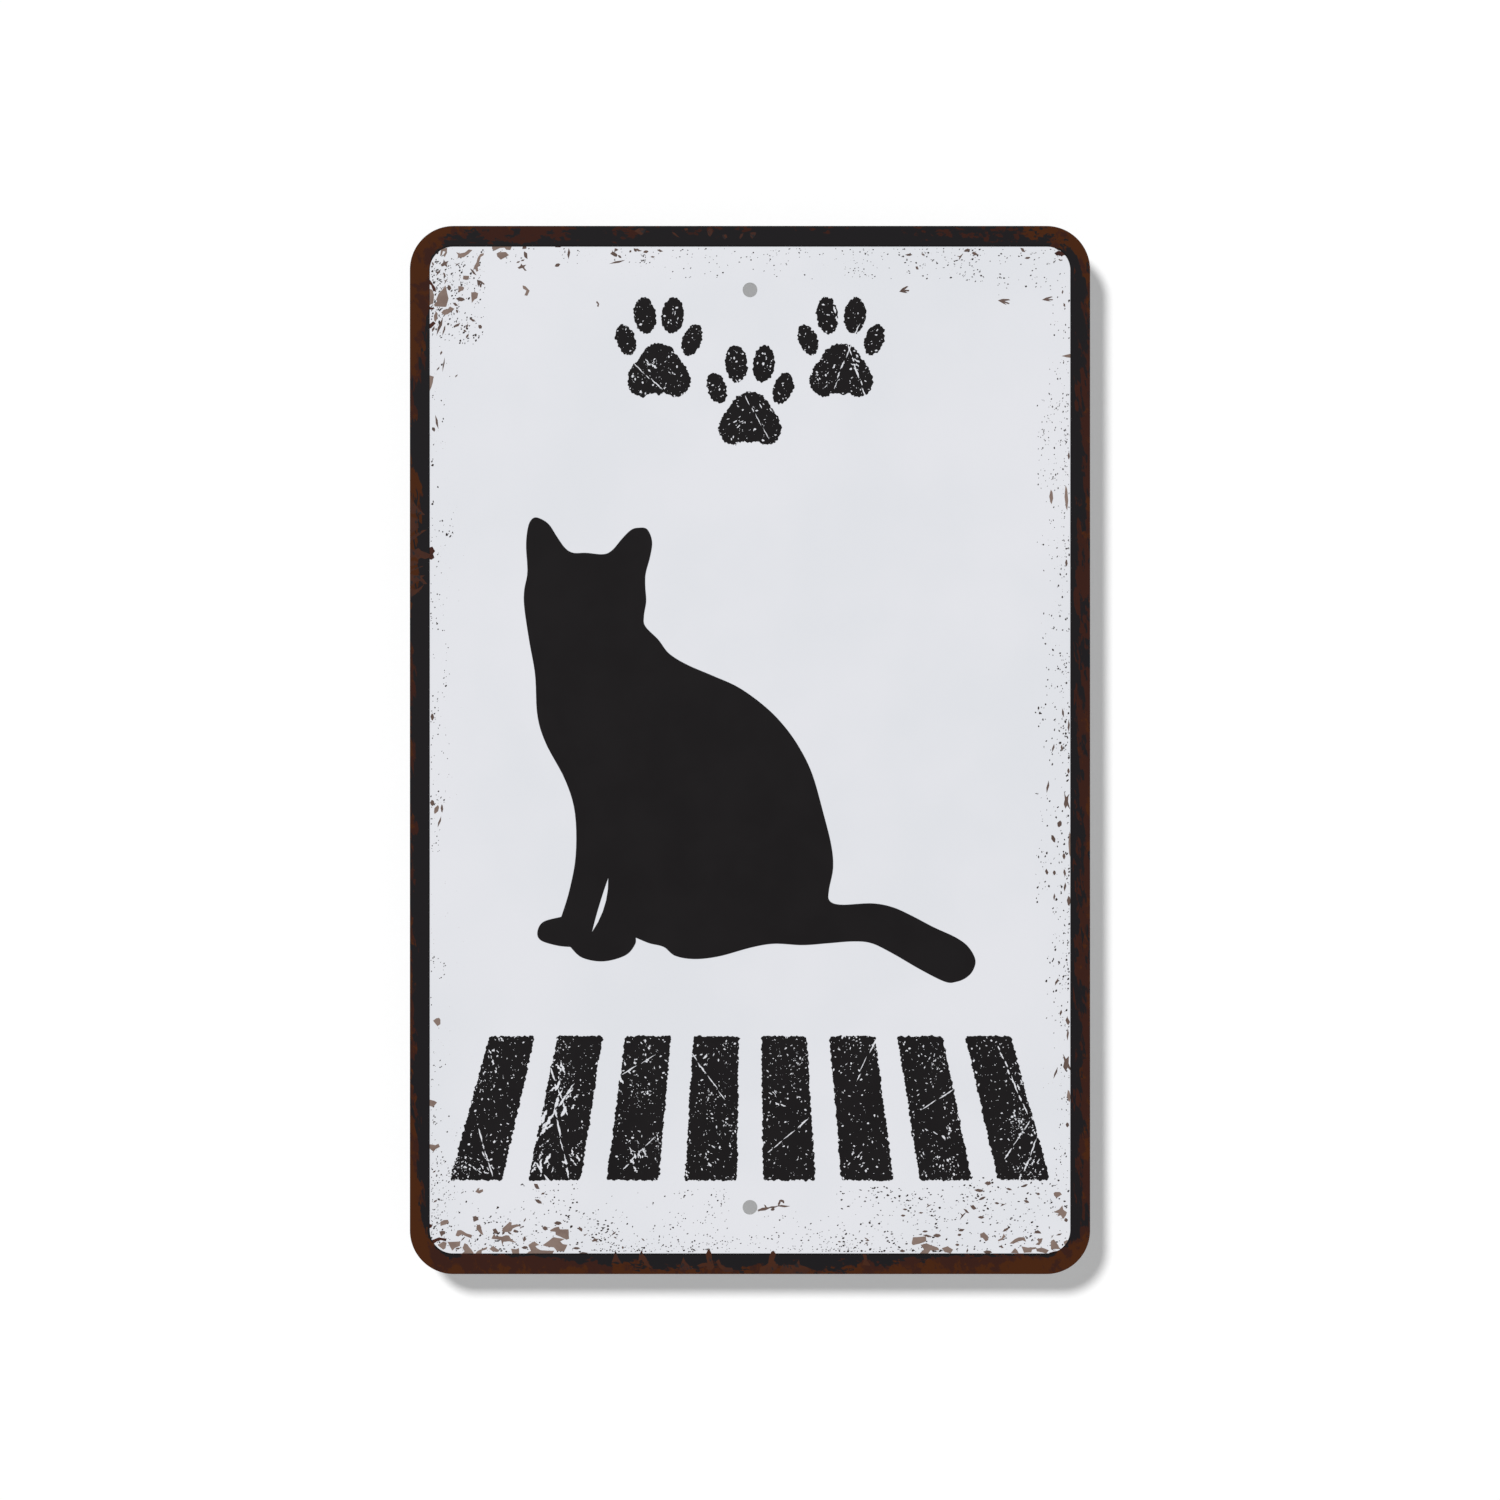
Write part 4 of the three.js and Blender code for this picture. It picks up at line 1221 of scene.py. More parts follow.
# Patches of specks on the white panel, clockwise from its upper left corner
SPECK_PATCHES: tuple[SpeckPatch, ...] = (
    # Upper left corner
    SpeckPatch(-92.6, -77, 118, 145.6, 250, 0.9, 55, Crowd.EVENLY),
    SpeckPatch(-92.6, -84, 120, 142, 84, 0.85, 60, Crowd.LEFT),
    # Left side, upper part
    SpeckPatch(-92.6, -86, 62, 118, 40, 1.0, 80, Crowd.LEFT),
    # Upper side, and its right corner
    SpeckPatch(-77, -30, 141.5, 145.8, 36, 0.6, 20, Crowd.UP),
    SpeckPatch(-32, 44, 137, 145.8, 170, 0.6, 20, Crowd.UP),
    SpeckPatch(44, 70, 136, 145.8, 130, 0.75, 10, Crowd.UP),
    SpeckPatch(72, 92, 132, 145.6, 76, 0.7, 20, Crowd.UP),
    # Right side, downwards
    SpeckPatch(87, 92.8, 104, 132, 30, 0.75, 80, Crowd.RIGHT),
    SpeckPatch(83.5, 92.8, 56, 104, 200, 0.75, 80, Crowd.RIGHT),
    SpeckPatch(85, 92.8, 12, 56, 96, 0.8, 80, Crowd.RIGHT),
    SpeckPatch(83, 92.8, -45, 14, 176, 0.95, 80, Crowd.RIGHT),
    SpeckPatch(85.5, 92.8, -84, -45, 116, 0.85, 80, Crowd.RIGHT),
    SpeckPatch(88.5, 92.8, -125, -84, 58, 0.8, 80, Crowd.RIGHT),
    # Lower right corner
    SpeckPatch(62, 92.6, -145.9, -124, 300, 0.9, 20, Crowd.EVENLY),
    # Lower side, and under the second bar
    SpeckPatch(25, 62, -145.9, -127, 350, 0.88, 10, Crowd.DOWN),
    SpeckPatch(4, 26, -145.9, -134, 60, 0.6, 10, Crowd.DOWN),
    SpeckPatch(-45, -6, -145.9, -127.5, 180, 0.75, 50, Crowd.DOWN),
    SpeckPatch(-45, 30, -145.9, -141, 170, 0.6, 10, Crowd.DOWN),
    SpeckPatch(-68, -50, -134.5, -126, 54, 0.75, 15, Crowd.EVENLY),
    SpeckPatch(-80, -38, -145.9, -133, 290, 0.9, 15, Crowd.DOWN),
    # Lower left corner, and up the left side
    SpeckPatch(-92.6, -79, -145.7, -119, 205, 0.75, 50, Crowd.LEFT),
    SpeckPatch(-92.6, -84, -120, -106, 26, 0.6, 50, Crowd.LEFT),
    SpeckPatch(-92.8, -88, -112, -60, 40, 0.6, 60, Crowd.LEFT),
    SpeckPatch(-92.8, -87.5, -30, -6, 32, 0.7, 70, Crowd.LEFT),
    SpeckPatch(-92.8, -87.4, -6, 62, 90, 0.6, 65, Crowd.LEFT),
)

# Rust that licks inwards over the border's ink, from its outer edge
TONGUES: Outlines = {
    "left wing": (
        (-98.7, 73.2), (-98.1, 72.4), (-97.0, 70.9), (-96.0, 69.8), (-94.4, 68.3), (-95.5, 68.4),
        (-96.6, 69.0), (-98.0, 68.6), (-98.7, 69.0),
    ),
    "left stub": (
        (-98.7, 68.0), (-97.6, 67.5), (-96.1, 67.1), (-96.9, 66.1), (-96.3, 64.7), (-97.4, 63.8),
        (-98.7, 62.8),
    ),
    "left straw": (
        (-98.7, 60.7), (-97.6, 61.4), (-96.1, 62.6), (-93.9, 64.1), (-95.2, 63.9), (-97.2, 62.8),
        (-98.7, 61.9),
    ),
    "left trunk": (
        (-98.7, 58.6), (-97.6, 58.2), (-96.4, 58.7), (-95.6, 57.9), (-94.4, 57.5), (-93.1, 56.9),
        (-93.2, 56.0), (-94.5, 55.5), (-95.6, 55.9), (-96.6, 55.4), (-97.4, 56.2), (-98.7, 55.8),
    ),
    "left blob": ((-98.7, 54.9), (-97.4, 55.1), (-96.5, 54.5), (-97.0, 53.8), (-98.7, 53.4)),
    "left twig": ((-98.7, 52.5), (-97.3, 53.0), (-94.9, 53.6), (-96.2, 52.8), (-98.7, 51.9)),
    "left hand": (
        (-98.7, 51.2), (-97.2, 50.8), (-94.6, 50.8), (-95.4, 50.1), (-93.8, 48.3), (-95.0, 48.2),
        (-95.9, 49.2), (-97.2, 48.9), (-98.0, 47.9), (-98.7, 47.6),
    ),
    "left root": (
        (-98.7, 47.2), (-97.7, 46.6), (-96.4, 47.0), (-94.8, 48.1), (-95.6, 46.8), (-97.4, 45.2),
        (-98.7, 44.4),
    ),
    "first peak": (
        (-40.2, -149.0), (-39.6, -147.2), (-39.2, -145.6), (-38.6, -146.6), (-38.2, -147.9),
        (-37.2, -149.4), (-38.8, -148.8),
    ),
    "second peak": (
        (-32.5, -148.6), (-32.2, -146.9), (-31.6, -145.4), (-31.1, -146.6), (-30.2, -147.6),
        (-29.6, -149.2), (-28.2, -151.0), (-30.4, -149.8), (-31.4, -148.2),
    ),
    "third peak": (
        (-20.5, -151.3), (-20.1, -149.6), (-19.4, -147.4), (-18.8, -148.8), (-17.4, -150.2),
        (-16.2, -150.9), (-18.6, -151.2),
    ),
    "low bar": ((-15.6, -149.9), (-13.8, -149.2), (-12.5, -149.1), (-12.4, -150.1), (-14.6, -150.4)),
    "spire": (
        (-12.9, -146.7), (-12.0, -144.8), (-11.2, -146.5), (-11.0, -148.3), (-10.3, -150.4),
        (-11.2, -151.4), (-12.6, -151.0), (-12.4, -149.0),
    ),
    "fourth peak": (
        (-9.9, -148.7), (-9.0, -148.1), (-8.4, -149.6), (-7.0, -150.4), (-5.2, -150.6), (-4.6, -151.7),
        (-7.4, -151.8), (-9.0, -150.4),
    ),
    "fifth peak": (
        (2.6, -152.2), (2.9, -150.4), (4.6, -149.8), (5.3, -149.2), (5.6, -147.2), (6.2, -145.9),
        (6.8, -145.6), (7.6, -146.6), (6.9, -148.4), (8.2, -149.6), (7.8, -151.0), (6.2, -152.2),
    ),
    "sixth peak": (
        (8.6, -151.8), (9.4, -149.7), (11.4, -149.7), (12.8, -149.8), (13.6, -149.2), (14.2, -148.2),
        (14.6, -149.8), (16.6, -150.4), (17.6, -151.2), (16.4, -152.2), (12.0, -152.2),
    ),
    "seventh peak": (
        (32.7, -149.8), (33.2, -148.2), (32.7, -146.6), (33.9, -146.7), (34.1, -148.6), (35.2, -150.0),
    ),
    "upper left blot": (
        (-33.6, 150.9), (-32.2, 151.8), (-30.2, 151.5), (-30.9, 150.2), (-31.8, 149.7), (-32.6, 150.3),
    ),
    "upper streak": ((-22.7, 150.7), (-21.9, 150.4), (-20.5, 149.0), (-21.3, 149.3), (-22.4, 150.1)),
    "upper spot": ((-19.2, 151.6), (-18.2, 151.8), (-18.1, 151.2), (-18.8, 151.0)),
    "upper blot": (
        (-12.4, 150.8), (-11.9, 151.7), (-10.9, 151.4), (-10.9, 150.3), (-11.6, 149.3), (-12.2, 149.8),
    ),
    "upper patch": ((-8.0, 149.9), (-6.9, 149.9), (-6.6, 149.1), (-7.3, 148.5), (-7.9, 148.9)),
    "upper sliver": ((-3.1, 149.0), (-2.7, 150.0), (-1.9, 150.3), (-2.2, 149.4), (-2.8, 148.6)),
    "upper wedge": ((0.0, 150.4), (1.1, 150.6), (1.9, 150.5), (1.3, 149.3), (0.6, 148.7), (0.1, 149.4)),
}

# Runs of torn ink across the paw prints and the bars
SCRATCHES: tuple[Scratch, ...] = (
    Scratch((-61.5, -83), (-53, -107), 0.42),
    Scratch((-51, -97), (-62.5, -114), 0.5),
    Scratch((-57, -104), (-52.5, -125.5), 0.45),
    Scratch((-64, -118), (-58, -126), 0.5),
    Scratch((-41.5, -97), (-30, -90), 0.34),
    Scratch((-37, -122), (-28, -113), 0.36),
    Scratch((-17, -88), (-8, -101), 0.34),
    Scratch((5, -117), (16, -108), 0.34),
    Scratch((31, -96), (36, -85), 0.36),
    Scratch((50, -104.5), (59, -99), 0.32),
    Scratch((72, -86), (80.5, -105), 0.42),
    Scratch((84, -111), (78.5, -125), 0.45),
    Scratch((74, -119), (86.5, -101), 0.36),
    Scratch((-79, -110), (-74, -126), 0.34),
    Scratch((24, 129), (33, 105), 0.42),
    Scratch((32, 124), (25, 107), 0.36),
    Scratch((-34, 113), (-24, 103), 0.38),
    Scratch((-4, 108), (5, 91), 0.36),
)

# Patches of cracked ink on the paw prints and the bars
CRACK_PATCHES: tuple[CrackPatch, ...] = (
    CrackPatch((-74, -88), 3.4, 7, -60, 1.7),
    CrackPatch((-85, -112), 2.6, 5, 70, 1.5),
    CrackPatch((-79, -121), 3.6, 16, -50, 1.7),
    CrackPatch((-58, -89), 3.4, 9, -72, 4.2),
    CrackPatch((-54, -101), 3.6, 10, 50, 3.6),
    CrackPatch((-60, -108), 3.2, 10, 42, 4.6),
    CrackPatch((-60, -120), 3.4, 9, 78, 4.2),
    CrackPatch((-53, -119), 3.4, 9, -62, 2.6),
    CrackPatch((-37, -93), 3, 7, -62, 2.6),
    CrackPatch((-33, -118), 3.6, 12, -58, 2.8),
    CrackPatch((-14, -90), 2.6, 6, 40, 1.8),
    CrackPatch((-12, -119), 3.2, 8, -40, 1.7),
    CrackPatch((6, -100), 2.8, 6, -55, 1.6),
    CrackPatch((31, -118), 3, 8, 50, 1.8),
    CrackPatch((56, -112), 3, 7, -45, 1.8),
    CrackPatch((54, -90), 2.8, 6, 60, 1.6),
    CrackPatch((78, -96), 2.8, 4, -58, 2.2),
    CrackPatch((82, -120), 3.4, 6, 55, 2.2),
    CrackPatch((-29, 112), 3.2, 5, -52, 1.9),
    CrackPatch((-22, 127), 2.4, 3, 60, 1.4),
    CrackPatch((-3, 95), 3, 4, 40, 1.8),
    CrackPatch((4, 101), 2.6, 3, -60, 1.6),
    CrackPatch((24, 108), 3, 4, 55, 1.8),
    CrackPatch((31, 113), 2.6, 4, -45, 2),
)

# Nodes of the printed figures that are cut anew
FIGURE_NAMES = ("left_paw", "middle_paw", "right_paw", "crossing_bar")


@dataclass(frozen=True)
class Films:
    """Depths of the printed films, in metres along Y.

    Attributes:
        coat: where the coat's front lies, read from the frame, and ink the ink's.
        speck_rise: how far the lowest specks stand on the coat, and so on for the rest.
        speck_root: how far the specks' points reach into it.
        tongue_rise: the same for the rust tongues, which lie over the border's ink.
        root: how far all but the specks reach into what carries them.
        step: how much higher the next one stands.
    """

    coat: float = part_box("white_base_coat")[0].y
    ink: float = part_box("border_ink")[0].y
    speck_rise: float = 0.008 * MM
    speck_root: float = 0.006 * MM
    chip_rise: float = 0.02 * MM
    bite_rise: float = 0.045 * MM
    tongue_rise: float = coat - ink + 0.01 * MM
    root: float = 0.01 * MM
    step: float = 0.001 * MM


def place_on_sign(spot: Point, turn: float, size: tuple[float, float, float], depth: float) -> Matrix:
    """Where a pattern of unit size goes.

    Args:
        spot: its middle on the sign, in millimetres.
        turn: degrees that it is turned, anticlockwise as the sign is seen.
        size: its length, depth and width, in metres.
        depth: where its front lies along Y, in metres.

    Returns:
        The matrix of its place, turn and size.
    """
    middle = Vector((spot[0] * MM, depth, spot[1] * MM))
    turned = Matrix.Rotation(-math.radians(turn), 4, "Y")
    return Matrix.Translation(middle) @ turned @ Matrix.Diagonal((*size, 1.0))


def dress(piece: Thing, ink: bpy.types.Material, slot: Slot) -> Thing:
    """Give a new piece its ink and its body.

    Args:
        piece: the piece.
        ink: its material.
        slot: the record's slot; not used.

    Returns:
        The piece.
    """
    piece.data.materials.clear()
    piece.data.materials.append(ink)
    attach(piece, BODY)
    LOG.info("%s: %d faces", piece.name, len(piece.data.polygons))
    return piece


@dataclass
class CutterSet:
    """Patterns of unit size that chips, specks, flecks and slivers are copied from.

    Attributes:
        flake_sides: sides of each pattern of a speck, and fleck_sides of a fleck.
        ragged: how far a speck's corners stray, as a share of its size.
        breaks: how often each side of an outline is broken.
        rough: how crooked a broken side is, as a share of its length.
        sliver_ragged: how far a sliver's corners stray, as a share of a step.
        sliver_taper: how much narrower a sliver is at its tips.
        sliver_point: how late its sides draw in, as a power of the way to its tips.
        sliver_bows: how far each pattern of a sliver sways, as a share of its width.
        cuts: the patterns of the shared outlines that have been modelled so far.
    """

    flake_sides: tuple[int, ...] = (5, 4, 6, 5, 7, 5, 6, 4)
    fleck_sides: tuple[int, ...] = (4, 5, 3, 6, 4, 5, 7, 3)
    ragged: float = 0.2
    breaks: int = 2
    rough: float = 0.35
    sliver_steps: int = 9
    sliver_ragged: float = 0.3
    sliver_taper: float = 0.8
    sliver_point: int = 3
    sliver_bows: tuple[float, ...] = (0.1, 0.15, 0.2, 0.4, 0.5, 0.6)
    cuts: dict[Cut, bpy.types.Mesh] = field(default_factory=dict)

    def disc(self, sides: int) -> Thing:
        """Add a flat disc of unit width that faces the viewer, in edit mode.

        Args:
            sides: how many sides it has.

        Returns:
            The disc.
        """
        return Bench.begin(
            bpy.ops.mesh.primitive_circle_add,
            vertices=sides,
            radius=HALF,
            fill_type="NGON",
            rotation=(QUARTER_TURN, 0, 0),
        )

    def thicken(self, piece: Thing) -> bpy.types.Mesh:
        """Draw a flat face back into a closed solid of unit depth.

        Args:
            piece: the face, in edit mode.

        Returns:
            The solid's mesh.
        """
        Bench.select(piece, lambda face: True, "faces")
        bpy.ops.mesh.extrude_region_move(TRANSFORM_OT_translate={"value": (0, 1, 0)})
        Bench.close()
        return Bench.keep_mesh(piece)

    def roughen(self, seed: int) -> None:
        """Break the sides of a flat face up into short crooked ones.

        Args:
            seed: seed of their crookedness.
        """
        bpy.ops.mesh.select_all(action="SELECT")
        bpy.ops.mesh.delete(type="ONLY_FACE")
        bpy.ops.mesh.select_all(action="SELECT")
        bpy.ops.mesh.subdivide(number_cuts=self.breaks, fractal=self.rough, seed=seed)
        bpy.ops.mesh.select_all(action="SELECT")
        bpy.ops.transform.resize(value=(1, 0, 1), center_override=(0, 0, 0))
        bpy.ops.mesh.edge_face_add()

    def solid(self, name: str, corners: tuple[Point, ...]) -> bpy.types.Mesh:
        """Cut a solid of unit depth to an outline, with rough sides.

        Args:
            name: its name, whose length seeds its sides' roughness.
            corners: its corners, across and up.

        Returns:
            Its closed mesh.
        """
        piece = self.disc(len(corners))
        for index, (across, up) in enumerate(corners):
            Bench.select(piece, lambda corner, chosen=index: corner.index == chosen)
            mesh = bmesh.from_edit_mesh(piece.data)
            mesh.verts.ensure_lookup_table()
            start = mesh.verts[index].co
            bpy.ops.transform.translate(value=(across - start.x, 0, up - start.z))
        self.roughen(len(name))
        return self.thicken(piece)

    def outline(self, cut: Cut) -> bpy.types.Mesh:
        """Model a shared outline when it is first asked for.

        Args:
            cut: the outline.

        Returns:
            Its pattern.
        """
        if cut not in self.cuts:
            self.cuts[cut] = self.solid(f"{cut.name.lower()}_cut", cut.value)
        return self.cuts[cut]

    def stray(self, offset: float, seed: int) -> None:
        """Move the selected corners about at random, and press them flat again."""
        bpy.ops.transform.vertex_random(offset=offset, uniform=0.0, normal=0.0, seed=seed)
        bpy.ops.transform.resize(value=(1, 0, 1), center_override=(0, 0, 0))

    def flakes(self) -> list[bpy.types.Mesh]:
        """Specks: flat ragged faces that run to a point behind, in the coat.

        Returns:
            One mesh for each pattern.
        """
        found = []
        for seed, sides in enumerate(self.flake_sides):
            piece = Bench.begin(
                bpy.ops.mesh.primitive_cone_add,
                vertices=sides,
                radius1=HALF,
                depth=1,
                location=(0, HALF, 0),
                rotation=(-QUARTER_TURN, 0, 0),
            )
            Bench.select(piece, lambda corner: corner.co.y < HALF)
            self.stray(self.ragged, seed)
            Bench.close()
            found.append(Bench.keep_mesh(piece))
        return found

    def flecks(self) -> list[bpy.types.Mesh]:
        """Closed tools of unit depth that knock flecks out of the ink.

        Returns:
            One mesh for each pattern.
        """
        found = []
        for seed, sides in enumerate(self.fleck_sides):
            piece = self.disc(sides)
            bpy.ops.mesh.select_all(action="SELECT")
            self.stray(self.ragged, seed + len(self.flake_sides))
            self.roughen(seed)
            found.append(self.thicken(piece))
        return found

    def slivers(self) -> list[bpy.types.Mesh]:
        """Closed ragged strips of unit depth, from nearly straight ones to wriggling ones.

        Returns:
            One mesh for each pattern.
        """
        return [self._sliver(seed, bow) for seed, bow in enumerate(self.sliver_bows)]

    def _sliver(self, seed: int, bow: float) -> bpy.types.Mesh:
        """Model one strip: roughen it, taper it, sway it and thicken it.

        Args:
            seed: seed of its roughness.
            bow: how far it sways, as a share of its width.

        Returns:
            Its mesh.
        """
        draw = random.Random(seed)
        piece = Bench.begin(
            bpy.ops.mesh.primitive_grid_add,
            x_subdivisions=self.sliver_steps,
            y_subdivisions=1,
            size=1,
            rotation=(QUARTER_TURN, 0, 0),
        )
        bpy.ops.mesh.select_all(action="SELECT")
        middle = (0, 0, 0)
        bpy.ops.transform.resize(value=(self.sliver_steps, 1, 1), center_override=middle)
        self.stray(self.sliver_ragged, seed)
        half = self.sliver_steps / 2
        for step in range(self.sliver_steps + 1):
            across = step - half
            Bench.select(piece, lambda corner, at=across: abs(corner.co.x - at) < HALF)
            narrow = 1 - self.sliver_taper * abs(across / half) ** self.sliver_point
            bpy.ops.transform.resize(value=(1, 1, narrow), center_override=middle)
            bpy.ops.transform.translate(value=(0, 0, bow * draw.uniform(-1, 1)))
        bpy.ops.mesh.select_all(action="SELECT")
        bpy.ops.transform.resize(value=(1 / self.sliver_steps, 1, 1), center_override=middle)
        return self.thicken(piece)


@dataclass
class PanelWear:
    """Chips, flakes with listed outlines, specks, rust bites and rust tongues that are printed on the
    sheet.

    Attributes:
        clumped: share of a patch's specks that lie in clumps.
        lean_spread: how far a speck's lean strays, in degrees.
        spread: how much larger a chip is printed than it is listed, in millimetres.
        small_chip: length times width under which a chip counts as small, in square millimetres.
        thin_cuts: cuts that count as small at any size.
        layers: how many heights neighbours take, so that none lie level.
        fineness: how rare the larger specks are, as a power of chance.
        slimness: a speck's least and greatest width, as shares of its length.
        clump_size: how many specks of a patch there are for one clump.
    """

    cutters: CutterSet
    seed: int = 12
    clumped: float = 0.55
    clump_reach: float = 1.9
    lean_spread: float = 38.0
    smallest: float = 0.28
    spread: float = 0.14
    small_chip: float = 3.0
    thin_cuts: tuple[Cut, ...] = (Cut.NEEDLE, Cut.ARROW, Cut.STAR, Cut.FORK)
    layers: int = 11
    fineness: float = 2.2
    slimness: Band = (0.4, 0.85)
    clump_size: int = 9
    chip_ink: ChipInk = ChipInk("chip_ink", paint(136, 117, 108), paint(120, 101, 93))
    small_chip_ink: ChipInk = ChipInk("small_chip_ink", paint(102, 84, 77), paint(84, 68, 62))
    speck_ink: ChipInk = ChipInk("speck_ink", paint(56, 46, 44), paint(38, 31, 30))
    bite_ink: ChipInk = ChipInk("rust_bite_ink", paint(62, 28, 18), paint(44, 20, 15))
    tongue_ink: ChipInk = ChipInk("rust_tongue_ink", paint(64, 31, 13), paint(52, 26, 18), 0.44)

    def build(self) -> list[Thing]:
        """Make the panel's wear.

        Returns:
            Its pieces.
        """
        made = [
            dress(self._chips("panel_chips", False), self.chip_ink.mix(), Slot.WHITE_COAT),
            dress(self._chips("small_panel_chips", True), self.small_chip_ink.mix(), Slot.WHITE_COAT),
            dress(self._specks(), self.speck_ink.mix(), Slot.WHITE_COAT),
        ]
        for name, outlines, rise, ink, slot in (
            ("panel_flakes", FLAKES, Films.chip_rise, self.chip_ink, Slot.WHITE_COAT),
            ("rust_bites", BITES, Films.bite_rise, self.bite_ink, Slot.BORDER_INK),
            ("rust_tongues", TONGUES, Films.tongue_rise, self.tongue_ink, Slot.BORDER_INK),
        ):
            made.append(dress(self._outlined(name, outlines, rise), ink.mix(), slot))
        return made

    def _chips(self, name: str, small: bool) -> Thing:
        """Lay the chips that have a shared outline, no two neighbours level.

        Args:
            name: the piece's name.
            small: whether the small chips are laid, not the large ones.

        Returns:
            One piece of closed chips.
        """
        laid = []
        for index, chip in enumerate(CHIPS):
            slight = chip.cut in self.thin_cuts or chip.length * chip.width < self.small_chip
            if slight != small:
                continue
            rise = Films.chip_rise + index % self.layers * Films.step
            length, width = ((side + self.spread) * MM for side in (chip.length, chip.width))
            size = (length, rise + Films.root, width)
            place = place_on_sign(chip.spot, chip.turn, size, Films.coat - rise)
            laid.append(Bench.lay("chip", self.cutters.outline(chip.cut), place))
        return Bench.join(name, laid)

    def _outlined(self, name: str, outlines: Outlines, rise: float) -> Thing:
        """Cut flat flakes to their own outlines.

        Args:
            name: the piece's name.
            outlines: the corners of each flake on the sign, in millimetres.
            rise: how far they stand on the coat, in metres.

        Returns:
            One piece of closed flakes.
        """
        laid = []
        for index, (flake, corners) in enumerate(outlines.items()):
            front = rise + index % self.layers * Films.step
            size = (MM, front + Films.root, MM)
            place = place_on_sign((0, 0), 0, size, Films.coat - front)
            laid.append(Bench.lay(name, self.cutters.solid(flake, corners), place))
        return Bench.join(name, laid)

    def _specks(self) -> Thing:
        """Pepper every patch with specks.

        Returns:
            One piece of all the specks.
        """
        patterns = self.cutters.flakes()
        draw = random.Random(self.seed)
        laid = []
        for patch in SPECK_PATCHES:
            for spot in self._spots(patch, draw):
                chance = draw.random() ** self.fineness
                length = self.smallest + (patch.largest - self.smallest) * chance
                width = length * draw.uniform(*self.slimness)
                turn = patch.lean + draw.uniform(-1, 1) * self.lean_spread
                rise = Films.speck_rise + len(laid) % self.layers * Films.step
                size = (length * MM, rise + Films.speck_root, width * MM)
                place = place_on_sign(spot, turn, size, Films.coat - rise)
                laid.append(Bench.lay("speck", draw.choice(patterns), place))
        return Bench.join("panel_specks", laid)

    def _spots(self, patch: SpeckPatch, draw: random.Random) -> Iterable[Point]:
        """Draw the places of a patch's specks, some in clumps, mirrored back where they stray.

        Args:
            patch: the patch.
            draw: the source of chance.

        Returns:
            The places, one by one.
        """
        clumps = max(1, patch.count // self.clump_size)
        centres = [self._spot(patch, draw) for _ in range(clumps)]
        for _ in range(patch.count):
            across, up = self._spot(patch, draw)
            if draw.random() < self.clumped:
                across, up = (
                    place + draw.gauss(0, self.clump_reach) for place in draw.choice(centres)
                )
            yield (
                patch.right - abs(patch.right - patch.left - abs(across - patch.left)),
                patch.high - abs(patch.high - patch.low - abs(up - patch.low)),
            )

    def _spot(self, patch: SpeckPatch, draw: random.Random) -> Point:
        """Draw one place in a patch.

        Args:
            patch: the patch.
            draw: the source of chance.

        Returns:
            The place.
        """
        shares = []
        for side in patch.crowd.value:
            share = draw.random()
            shares.append({-1: share**2, 0: share, 1: 1 - share**2}[side])
        return (
            patch.left + shares[0] * (patch.right - patch.left),
            patch.low + shares[1] * (patch.high - patch.low),
        )


@dataclass(frozen=True)
class Tool:
    """One tool that knocks ink out, before it is laid.

    Attributes:
        turn: degrees that its length is turned, anticlockwise as the sign is seen.
        size: its length and width, in millimetres.
        films: how deep it is, in thicknesses of the ink.
    """

    pattern: bpy.types.Mesh
    spot: Point
    turn: float
    size: Point
    films: int = 4

    def ground(self, clearance: float) -> list[Disc]:
        """Find the discs that cover it.

        Args:
            clearance: the least gap to the next tool, in millimetres.

        Returns:
            The place across, the place up and the radius of each, in millimetres.
        """
        length = 2 * self.size[0] * max(abs(corner.co.x) for corner in self.pattern.vertices)
        width = 2 * self.size[1] * max(abs(corner.co.z) for corner in self.pattern.vertices)
        steps = math.ceil(length / width)
        radius = (math.hypot(length / steps, width) + clearance) / 2
        way = Vector((math.cos(math.radians(self.turn)), math.sin(math.radians(self.turn))))
        discs = []
        for step in range(steps):
            middle = Vector(self.spot) + way * length * ((step + HALF) / steps - HALF)
            discs.append((middle.x, middle.y, radius))
        return discs

    def lay(self) -> Thing:
        """Lay it through the ink film.

        Returns:
            The laid tool.
        """
        through = self.films * (Films.coat - Films.ink)
        lengths = (self.size[0] * MM, through, self.size[1] * MM)
        place = place_on_sign(self.spot, self.turn, lengths, Films.ink - through / 2)
        return Bench.lay("tool", self.pattern, place)


